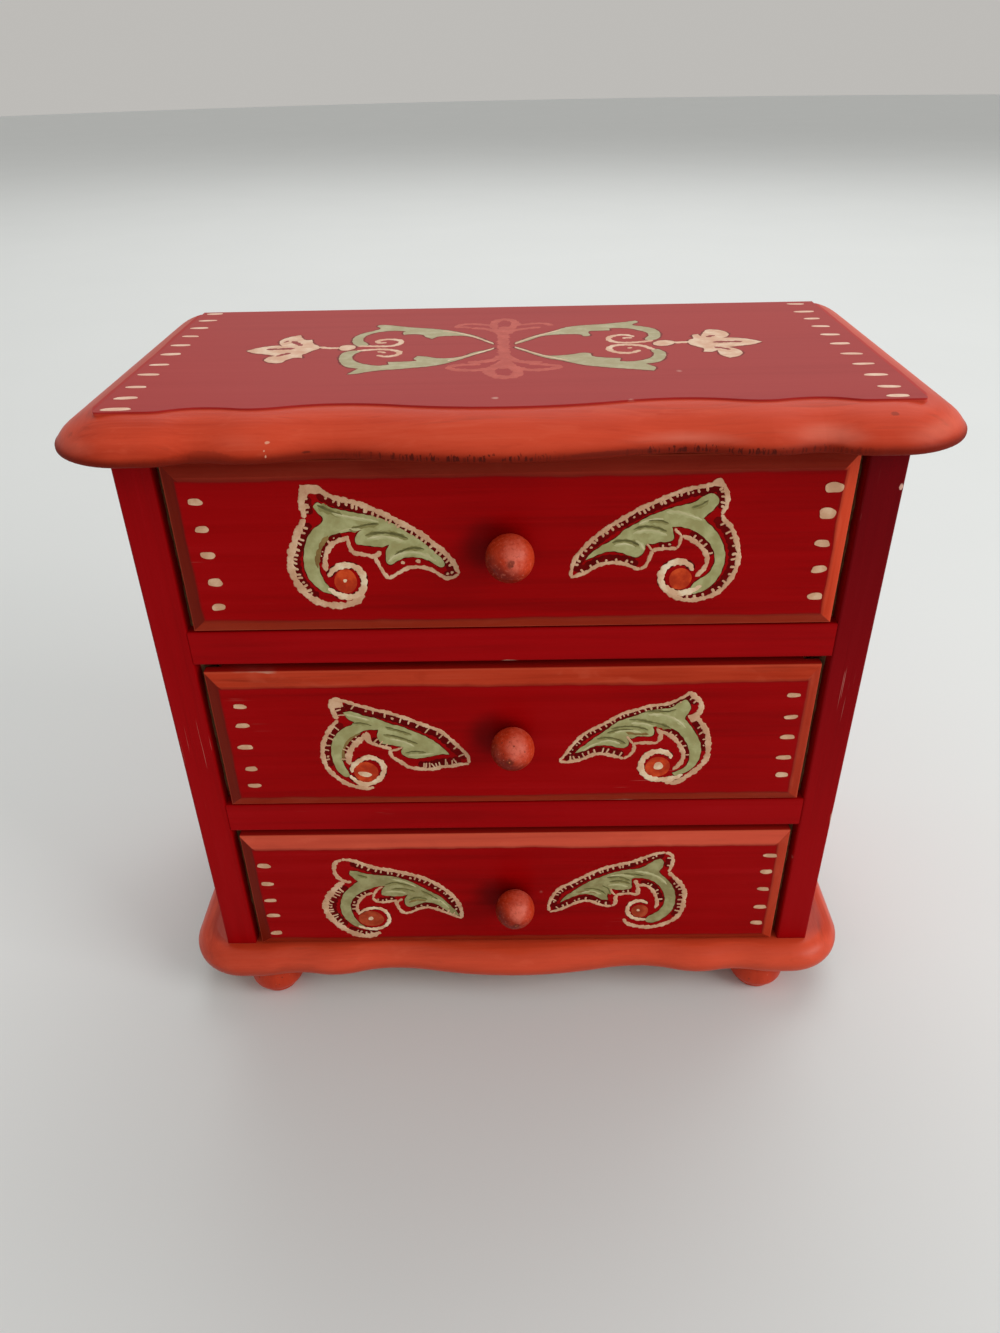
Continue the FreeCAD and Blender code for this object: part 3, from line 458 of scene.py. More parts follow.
for centre, size, colour, amount in (
        ((-57.3, 182.2), (0.70, 0.30), (0.86, 0.48, 0.32, 1.0), 0.8), ((-58.0, 180.7), (0.24, 0.22), (0.80, 0.44, 0.30, 1.0), 0.7),
        ((-57.6, 179.6), (0.20, 0.34), (0.80, 0.44, 0.30, 1.0), 0.7), ((-48.2, 179.8), (1.3, 0.30), (0.07, 0.007, 0.003, 1.0), 0.65),
        ((92.0, 185.4), (1.1, 0.35), (0.06, 0.008, 0.004, 1.0), 0.7), ((-72.0, 179.6), (8.0, 1.2), (0.20, 0.012, 0.003, 1.0), 0.45),
        ((24.0, 179.1), (12.0, 0.7), (0.13, 0.009, 0.003, 1.0), 0.5)):
    oc = g.mix(g.step(yy, 20.0, 16.0), oc, g.mark(oc, xx, zz, centre, size, colour, amount, 140.0 + centre[0]))
# the paint line under the step of the red field
step_dark = g.mul(g.step(zz, 185.9, 186.6), g.inv(field))
oc = g.mix(g.mul(step_dark, 0.25), oc, (0.36, 0.012, 0.010, 1.0))
# painted light: the step's riser is painted brighter red
wall = g.mul(g.step(zz, 187.36, 187.25), field)
fc = g.mix(g.mul(wall, 0.75), fc, (0.50, 0.022, 0.018, 1.0))
# painted light: the front's paint lighter and warmer towards the right
right_painted_light = g.mul(g.step(xx, -40.0, 60.0, 0.5, 1.0), g.step(zz, 179.4, 181.4))
oc = g.mix(g.mul(right_painted_light, 0.34), oc, (0.80, 0.105, 0.055, 1.0))
# painted highlights: soft lighter patches where the edge bulges forward
for cx, cz, rx, rz, amount in ((42.0, 181.2, 18.0, 1.9, 0.34), (74.5, 182.0, 13.0, 2.7, 0.36), (101.5, 182.2, 12.0, 2.7, 0.31),
                               (-64.0, 182.6, 9.0, 2.0, 0.07), (-104.0, 181.6, 7.0, 2.4, 0.14)):
    du = g.mul(g.sub(xx, cx), 1.0 / rx)
    dv = g.mul(g.sub(zz, cz), 1.0 / rz)
    d = g.math("SQRT", g.mad(du, du, g.mul(dv, dv)))
    d = g.add(d, g.mul(g.sub(g.noise((60.0, 60.0, 260.0), 3, 0.6, 170.0 + cx), 0.5), 0.8))
    oc = g.mix(g.mul(g.step(d, 1.0, 0.05), amount), oc, (0.86, 0.27, 0.19, 1.0))
col = g.mix(field, oc, fc)
hgt = g.add(g.mul(oh, g.mul(g.inv(field), 1.0)), g.mul(fh, g.mul(field, 0.35)))
hgt = g.sub(hgt, g.mul(ticks, 0.8))
rough = g.add(g.mul(field, g.mad(fb, 0.10, 0.46)), g.mul(g.inv(field), g.mad(bf, 0.18, 0.28)))
rough = g.add(rough, g.mul(under, g.mul(g.inv(field), 0.3)))
nrm = g.bump(hgt, 0.00012, 0.45)
set_material(NODES["top_board"], g.finish(col, rough, nrm, spec=0.11))

# base board and feet ----------------------------------------------------------
g = Mat("paint_base_board")
ax = g.mul(g.math("ABSOLUTE", g.x), 1000.0)
yy = g.mad(g.y, 1000.0, -OFF_Y)
zz = g.mad(g.z, 1000.0, -OFF_Z)
is_side = g.step(g.sub(ax, g.sub(101.6, g.lo(yy, 8.0))), -3.0, 3.0)
cf, hf, bf = orange_paint(g, "X", 17.0)
cs, hs, bs = orange_paint(g, "Y", 18.0)
oc = g.mix(is_side, cf, cs)
oh = g.add(g.mul(hf, g.inv(is_side)), g.mul(hs, is_side))
wobble = g.mul(g.sub(g.noise((26.0, 26.0, 8.0), 3, 0.6, 19.0), 0.5), 2.6)
# painted shade: darker towards the lower edge, where the board turns under
low = g.step(g.add(zz, wobble), -3.6, -6.4)
oc = g.mix(g.mul(low, 0.66), oc, (0.27, 0.022, 0.006, 1.0))
chip = specks(g, 48.0, 0.07, 20.0, 0.93)
oc = g.mix(g.mul(chip, 0.7), oc, (0.74, 0.46, 0.33, 1.0))
# painted shade where the board meets the case
rim = g.mul(g.step(zz, -0.35, -0.05), g.step(yy, -7.5, -1.5))
oc = g.mix(g.mul(rim, 0.45), oc, (0.36, 0.022, 0.006, 1.0))
# the lower face was only wiped with paint
wc, wh = wood(g, "X", 22.0)
bare = g.mul(g.step(zz, -8.9, -8.97), g.step(g.noise((12.0, 60.0, 12.0), 3, 0.6, 23.0), 0.40, 0.60))
oc = g.mix(g.mul(bare, 0.8), oc, wc)
xx = g.mul(g.x, 1000.0)
# painted light along the front: lighter towards the right, darker at the left end
near = g.step(yy, 6.0, 0.0)
oc = g.mix(g.mul(near, g.step(xx, -95.0, -40.0, 0.10, 0.38)), oc, (0.88, 0.100, 0.036, 1.0))
oc = g.mix(g.mul(near, g.step(xx, -50.0, -95.0, 0.0, 0.22)), oc, ORANGE_DEEP)
nrm = g.bump(oh, 0.00012, 0.5)
set_material(NODES["base_board"], g.finish(oc, g.mad(bf, 0.16, 0.27), nrm, spec=0.30))


def turned_paint(name, seed, centre, axis, scuff=None, rise=0.4):
    """Orange paint on a turned piece: faint lathe rings round the axis, scuffs, a little dirt; on the knobs a painted
    shade low left and a painted highlight up right.
    """
    g = Mat("paint_" + name)
    c, h, broad = brushed(g, axis, seed, (0.42, 0.024, 0.005, 1.0), (0.58, 0.044, 0.011, 1.0), (0.66, 0.078, 0.026, 1.0), 0.8)
    blot = g.noise(210.0, 4, 0.65, seed + 3)
    if centre is not None:
        # painted shade underneath and to the left, painted highlight up and to the right
        gx = g.mul(g.sub(g.mul(g.x, 1000.0), centre[0]), 1.0 / 6.35)
        gz = g.mul(g.sub(g.mad(g.z, 1000.0, -OFF_Z), centre[2]), 1.0 / 6.35)
        side = g.add(g.mad(gx, 0.60, g.mul(g.sub(gz, rise), 0.85)), g.mul(g.sub(blot, 0.5), 0.7))
        c = g.mix(g.step(side, 0.00, -0.85, 0.0, 0.94), c, (0.17, 0.0050, 0.0008, 1.0))
        rx = g.sub(gx, 0.20)
        rz = g.sub(gz, rise)
        highlight_dist = g.math("SQRT", g.mad(rx, rx, g.mul(rz, rz)))
        highlight_dist = g.add(highlight_dist, g.mul(g.sub(blot, 0.5), 0.9))
        c = g.mix(g.step(highlight_dist, 0.70, 0.08, 0.0, 0.64), c, (0.84, 0.205, 0.140, 1.0))
        fleck = g.noise(1150.0, 3, 0.7, seed + 11)
        c = g.mix(g.mul(g.step(fleck, 0.52, 0.66), 0.34), c, (0.27, 0.016, 0.004, 1.0))
        c = g.mix(g.mul(g.step(fleck, 0.46, 0.32), 0.26), c, (0.86, 0.22, 0.14, 1.0))
    c = g.mix(g.mul(g.step(blot, 0.58, 0.72), 0.30), c, ORANGE_DEEP)
    c = g.mix(g.mul(g.step(blot, 0.38, 0.28), 0.25), c, ORANGE_LIGHT)
    grit = specks(g, 620.0, 0.27, seed + 4, 0.52)
    gather = g.step(g.noise(160.0, 2, 0.5, seed + 8), 0.40, 0.60)
    c = g.mix(g.mul(g.mul(grit, gather), 0.85), c, BROWN)
    pale = specks(g, 700.0, 0.17, seed + 6, 0.74)
    c = g.mix(g.mul(pale, 0.5), c, (0.80, 0.30, 0.20, 1.0))
    if scuff is not None:
        p = W(*scuff)
        n = g.node("ShaderNodeVectorMath")
        n.operation = "DISTANCE"
        g.tree.links.new(g.co, n.inputs[0])
        n.inputs[1].default_value = p
        d = g.mul(n.outputs["Value"], 1000.0)
        d = g.add(d, g.mul(g.sub(g.noise(700.0, 3, 0.7, seed + 5), 0.5), 2.4))
        c = g.mix(g.mul(g.step(d, 1.45, 0.6), 0.72), c, (0.13, 0.014, 0.006, 1.0))
        c = g.mix(g.mul(g.step(d, 0.25, 0.0), 0.8), c, (0.82, 0.24, 0.07, 1.0))
    height = g.add(g.mul(h, 0.5), g.mul(blot, 0.9))
    nrm = g.bump(height, 0.00014, 0.5)
    return g.finish(c, g.mad(broad, 0.16, 0.30), nrm, spec=0.24 if centre is None else 0.15)


for i, n in enumerate(("foot_front_left", "foot_back_left", "foot_front_right", "foot_back_right")):
    set_material(NODES[n], turned_paint(n, 30.0 + i, None, "Z"))
KNOBS = {"top": (0.0, -7.5, 150.3), "middle": (0.0, -7.5, 89.1), "bottom": (0.0, -7.5, 23.4)}
for i, (d, k) in enumerate(KNOBS.items()):
    # a scuff low on the ball's front
    s = (k[0] + (0.1, -0.8, 0.25)[i], k[1] - 6.2, k[2] + (1.3, 0.1, -1.05)[i])
    # the last number sets how high each knob's painted highlight and shade sit
    set_material(NODES[d + "_drawer_knob"], turned_paint(d + "_drawer_knob", 40.0 + i, k, "X", s, (0.42, 0.51, 0.62)[i]))

# ---------------------------------------------------------------------------
# Drawer fronts: red field, orange bevels with a hand-drawn inner line
# ---------------------------------------------------------------------------
FLOORS = {"top": 125.1, "middle": 62.4, "bottom": 0.0}
LENGTHS = {"top": 64.0, "middle": 98.0, "bottom": 98.0}
FRONT_W, FRONT_H, BEVEL = 175.6, 49.0, 3.7


# how much painted shade the right-hand end band and the top band get
BEVEL_SHADE = {"top": (0.0, 0.66), "middle": (0.48, 0.22), "bottom": (0.40, 0.0)}


def drawer_front(d, seed):
    g = Mat("paint_%s_drawer_front" % d)
    f0 = FLOORS[d] + 0.6
    f1 = f0 + FRONT_H
    xx = g.mul(g.x, 1000.0)
    ax = g.math("ABSOLUTE", xx)
    yy = g.mad(g.y, 1000.0, -OFF_Y)
    zz = g.mad(g.z, 1000.0, -OFF_Z)
    c, h, broad = brushed(g, "X", seed, (0.25, 0.0004, 0.0010, 1.0), (0.345, 0.0006, 0.0015, 1.0), (0.42, 0.0040, 0.0060, 1.0))
    dust = specks(g, 85.0, 0.085, seed + 2, 0.88)
    c = g.mix(g.mul(dust, 0.5), c, (0.50, 0.16, 0.13, 1.0))
    scr = g.noise((45.0, 45.0, 2300.0), 1, 0.4, seed + 11)
    gate = g.step(g.noise(26.0, 2, 0.5, seed + 12), 0.60, 0.68)
    c = g.mix(g.mul(g.mul(g.step(scr, 0.70, 0.74), gate), 0.45), c, (0.52, 0.15, 0.12, 1.0))
    k = KNOBS[d]
    # painted shadow of the knob on the field, to its left
    du = g.mul(g.sub(xx, k[0] - 4.6), 1.0 / 11.5)
    dv = g.mul(g.sub(zz, k[2] + 0.8), 1.0 / 10.0)
    knob_shadow = g.math("SQRT", g.mad(du, du, g.mul(dv, dv)))
    knob_shadow = g.add(knob_shadow, g.mul(g.sub(g.noise(70.0, 2, 0.5, seed + 51), 0.5), 0.4))
    c = g.mix(g.step(knob_shadow, 1.0, 0.35, 0.0, 0.62), c, (0.085, 0.0004, 0.0006, 1.0))
    # distances to the four sides of the front, with the painter's wobble
    wob = g.mul(g.sub(g.noise((30.0, 30.0, 30.0), 3, 0.55, seed + 5), 0.5), 2.2)
    wob2 = g.mul(g.sub(g.noise((140.0, 140.0, 140.0), 2, 0.6, seed + 6), 0.5), 0.7)
    wobble = g.add(wob, wob2)
    dx = g.sub(FRONT_W / 2, ax)
    dt = g.sub(f1, zz)
    db = g.sub(zz, f0)
    dd = g.lo(g.lo(dx, dt), db)
    top_extra = g.add(dt, -0.9)                      # the top band is painted a little wider
    dist = g.add(g.lo(g.lo(dx, top_extra), db), wobble)
    is_band = g.step(dist, BEVEL + 0.25, BEVEL - 0.10)
    oc1, oh1, ob1 = orange_paint(g, "X", seed + 20)
    oc2, oh2, ob2 = orange_paint(g, "Z", seed + 24)
    # upright bands at the ends, lying ones above and below
    upright = g.step(g.sub(g.lo(dt, db), dx), -0.15, 0.15)
    oc = g.mix(upright, oc1, oc2)
    oh = g.add(g.mul(oh1, g.inv(upright)), g.mul(oh2, upright))
    # painted shade: the end and bottom bands darker, the left end more than the right, and the top band darker under
    # the top board
    low_band_shade = g.mul(g.step(g.sub(dt, db), -0.2, 0.2), g.inv(upright))
    oc = g.mix(g.mul(low_band_shade, 0.66), oc, (0.17, 0.008, 0.002, 1.0))
    end_band_shade = g.mul(upright, g.step(xx, 40.0, -40.0, BEVEL_SHADE[d][0], 0.88))
    oc = g.mix(end_band_shade, oc, (0.14, 0.005, 0.0015, 1.0))
    topband = g.mul(g.step(g.sub(dt, db), 0.2, -0.2), g.inv(upright))
    oc = g.mix(g.mul(topband, BEVEL_SHADE[d][1]), oc, (0.13, 0.005, 0.006, 1.0))
    # painted light: the bottom drawer's top band is lighter
    if d == "bottom":
        oc = g.mix(g.mul(topband, 0.34), oc, (0.76, 0.155, 0.105, 1.0))
    # dark line where the two paints meet, and rubbed outer arris
    line = g.mul(g.step(dist, BEVEL - 1.0, BEVEL - 0.1), g.step(dist, BEVEL + 0.7, BEVEL + 0.1))
    col = g.mix(is_band, c, oc)
    col = g.mix(g.mul(line, 0.42), col, (0.15, 0.006, 0.005, 1.0))
    arris = g.step(g.add(dd, g.mul(wob2, 0.4)), 0.55, 0.15)
    col = g.mix(g.mul(arris, 0.35), col, ORANGE_LIGHT)
    gates = g.step(g.noise(34.0, 3, 0.6, seed + 31), 0.62, 0.72)
    worn = g.mul(g.mul(g.step(g.add(dd, g.mul(wob2, 2.0)), 0.50, 0.20), gates), 0.55)
    col = g.mix(worn, col, PRIMER)
    # painted round onto the edges of the front, the rest bare wood
    side = g.step(yy, 0.15, 0.5)
    col = g.mix(g.mul(side, 0.9), col, c)
    wc, wh = wood(g, "X", seed + 40)
    bare = g.step(g.add(yy, ragged(g, seed + 41, 1.0)), 6.2, 7.2)
    bare = g.hi(bare, g.mul(g.step(ax, 83.6, 83.4), g.step(yy, 4.5, 5.0)))
    col = g.mix(bare, col, wc)
    hgt = g.add(g.mul(h, g.inv(is_band)), g.mul(oh, g.mul(is_band, 1.2)))
    hgt = g.add(g.mul(hgt, g.inv(bare)), g.mul(wh, bare))
    hgt = g.add(hgt, g.mul(is_band, 0.25))
    rough = g.add(g.mad(broad, 0.20, 0.30), g.mul(bare, 0.3))
    nrm = g.bump(hgt, 0.00013, 0.55)
    set_material(NODES["%s_drawer_front" % d], g.finish(col, rough, nrm, spec=0.045))


for i, d in enumerate(("top", "middle", "bottom")):
    drawer_front(d, 50.0 + 4.7 * i)

# ---------------------------------------------------------------------------
# Bare wood, felt, metal
# ---------------------------------------------------------------------------


def bare_wood(nodes, axis, seed, tone=1.0):
    for i, n in enumerate(nodes):
        lo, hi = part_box(n)
        g = Mat("wood_" + n)
        light = tuple(v * tone for v in (0.62, 0.43, 0.24)) + (1.0,)
        mid = tuple(v * tone for v in (0.50, 0.32, 0.16)) + (1.0,)
        c, h = wood(g, axis, seed + i * 1.7, light, mid)
        edge = g.edge_mm(lo, hi)
        grime = g.mul(g.step(edge, 2.5, 0.0), g.step(g.noise(60.0, 3, 0.6, seed + i), 0.35, 0.7))
        c = g.mix(g.mul(grime, 0.4), c, (0.20, 0.11, 0.05, 1.0))
        nrm = g.bump(h, 0.00014, 0.6)
        set_material(NODES[n], g.finish(c, g.mad(h, 0.2, 0.62), nrm, spec=0.3))


for i, d in enumerate(("top", "middle", "bottom")):
    bare_wood(["%s_drawer_left_side" % d, "%s_drawer_right_side" % d], "Y", 60.0 + i * 5)
    bare_wood(["%s_drawer_back" % d], "X", 70.0 + i * 5)
    bare_wood(["%s_drawer_bottom" % d], "X", 80.0 + i * 5, 0.86)
bare_wood(["movement_partition"], "X", 95.0, 0.8)
bare_wood(["top_dowels"], "Z", 97.0, 1.1)


def felt(name, seed):
    g = Mat("felt_" + name)
    fuzz = g.noise(1500.0, 4, 0.7, seed)
    clump = g.noise(260.0, 3, 0.6, seed + 1)
    broad = g.noise(22.0, 2, 0.5, seed + 2)
    c = g.mix(g.step(fuzz, 0.3, 0.7), (0.050, 0.075, 0.034, 1.0), (0.115, 0.150, 0.075, 1.0))
    c = g.mix(g.mul(g.step(clump, 0.5, 0.75), 0.4), c, (0.15, 0.18, 0.10, 1.0))
    c = g.mix(g.mul(g.step(broad, 0.45, 0.7), 0.3), c, (0.13, 0.15, 0.085, 1.0))
    lint = specks(g, 230.0, 0.10, seed + 4, 0.95)
    c = g.mix(g.mul(lint, 0.4), c, (0.5, 0.5, 0.42, 1.0))
    nrm = g.bump(g.mad(fuzz, 0.7, clump), 0.0004, 0.7)
    return g.finish(c, 0.95, nrm, spec=0.15, sheen=0.35, sheen_rough=0.6)


def felt_sheet(d, seed):
    """A cut piece of thick felt lying on the drawer's bottom: knife-cut edge, rounded corners,
    a nap that is a little higher in places and pressed thin along the walls."""
    node = "%s_drawer_lining" % d
    lo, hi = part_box(node)
    r = random.Random(seed)
    waves = [(r.uniform(20, 75), r.uniform(20, 75), r.uniform(0, math.tau), r.uniform(0.5, 1.0)) for _ in range(9)]

    def relief(x, y):
        return sum(a * math.sin(fx * x * 2 + fy * y * 2 + p) for fx, fy, p, a in waves) / 9.0

    w, l = hi[0] - lo[0], hi[1] - lo[1]
    nx, ny = int(w / 0.0016), int(l / 0.0016)
    bm = bmesh.new()
    top, low = {}, {}
    for i in range(nx + 1):
        for j in range(ny + 1):
            x, y = lo[0] + w * i / nx, lo[1] + l * j / ny
            ex, ey = min(i, nx - i), min(j, ny - j)
            cut = 0.00022 * (0.5 + 0.5 * math.sin(x * 900 + seed) * math.sin(y * 870 + seed * 2))
            px = x + (cut if i == 0 else -cut if i == nx else 0.0)
            py = y + (cut if j == 0 else -cut if j == ny else 0.0)
            if ex == 0 and ey == 0:
                px += 0.0005 if i == 0 else -0.0005
                py += 0.0005 if j == 0 else -0.0005
            e = min(ex, ey)
            full = hi[2] - lo[2]
            t = full * (0.86 + 0.10 * relief(x, y)) - (0.00022 if e == 0 else 0.00006 if e == 1 else 0.0)
            top[i, j] = bm.verts.new((px, py, lo[2] + min(t, full - 0.00001)))
            if e == 0:
                low[i, j] = bm.verts.new((px, py, lo[2] + 0.00001))
    for i in range(nx):
        for j in range(ny):
            bm.faces.new((top[i, j], top[i + 1, j], top[i + 1, j + 1], top[i, j + 1]))
    rim = ([(i, 0) for i in range(nx)] + [(nx, j) for j in range(ny)] + [(i, ny) for i in range(nx, 0, -1)]
           + [(0, j) for j in range(ny, 0, -1)])
    for a, b in zip(rim, rim[1:] + rim[:1]):
        bm.faces.new((low[a], low[b], top[b], top[a]))
    bm.faces.new([low[a] for a in reversed(rim)])
    me = bpy.data.meshes.new("%s_drawer_felt" % d)
    bm.to_mesh(me)
    bm.free()
    for p in me.polygons:
        p.use_smooth = len(p.vertices) == 4 and abs(p.normal.z) > 0.5
    ob = bpy.data.objects.new("%s_drawer_felt" % d, me)
    bpy.context.scene.collection.objects.link(ob)
    set_material(ob, felt(ob.name, seed))
    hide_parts(node)
    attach(ob, "%s_drawer" % d)


for i, d in enumerate(("top", "middle", "bottom")):
    felt_sheet(d, 100.0 + 3 * i)


def metal(nodes, kind, seed):
    for i, n in enumerate(nodes):
        g = Mat("%s_%s" % (kind, n))
        s = seed + i * 1.3
        if kind == "brass":
            a, b, t = (0.72, 0.50, 0.20, 1.0), (0.58, 0.38, 0.15, 1.0), (0.20, 0.12, 0.05, 1.0)
            axis, r0 = "X", 0.26
        elif kind == "steel":
            a, b, t = (0.42, 0.43, 0.45, 1.0), (0.30, 0.31, 0.33, 1.0), (0.12, 0.09, 0.07, 1.0)
            axis, r0 = "X", 0.28
        elif kind == "zinc":
            a, b, t = (0.52, 0.52, 0.52, 1.0), (0.38, 0.38, 0.39, 1.0), (0.17, 0.12, 0.08, 1.0)
            axis, r0 = "Z", 0.36
        else:
            a, b, t = (0.66, 0.65, 0.62, 1.0), (0.52, 0.50, 0.47, 1.0), (0.22, 0.17, 0.12, 1.0)
            axis, r0 = "X", 0.30
        brush = g.noise(streak_scale(axis, 90.0, 4200.0), 3, 0.6, s)
        cloud = g.noise(95.0, 4, 0.6, s + 1)
        tarn = g.noise(300.0, 4, 0.7, s + 2)
        c = g.mix(g.step(cloud, 0.35, 0.65), a, b)
        c = g.mix(g.mul(g.step(tarn, 0.60, 0.75), 0.55), c, t)
        r = g.add(g.mad(brush, 0.16, r0), g.mul(g.step(tarn, 0.58, 0.75), 0.25))
        nrm = g.bump(g.add(brush, g.mul(tarn, 0.4)), 0.00004, 0.5)
        set_material(NODES[n], g.finish(c, r, nrm, metallic=1.0, aniso=0.2 if kind != "plate" else 0.0))


metal(["movement_bedplate", "cylinder", "cylinder_wheel", "cylinder_cock", "governor_frame", "spring_barrel",
       "barrel_cap", "lever_bracket", "governor_fly"], "brass", 110.0)
metal(["comb", "cylinder_arbor", "governor_wheel", "mainspring", "winding_arbor", "lever_pin", "stop_lever"], "steel", 130.0)
metal(["back_screws", "base_screws", "movement_screws", "comb_screws", "plate_screws", "lever_screws"], "zinc", 150.0)
metal(["winding_key"], "plate", 160.0)

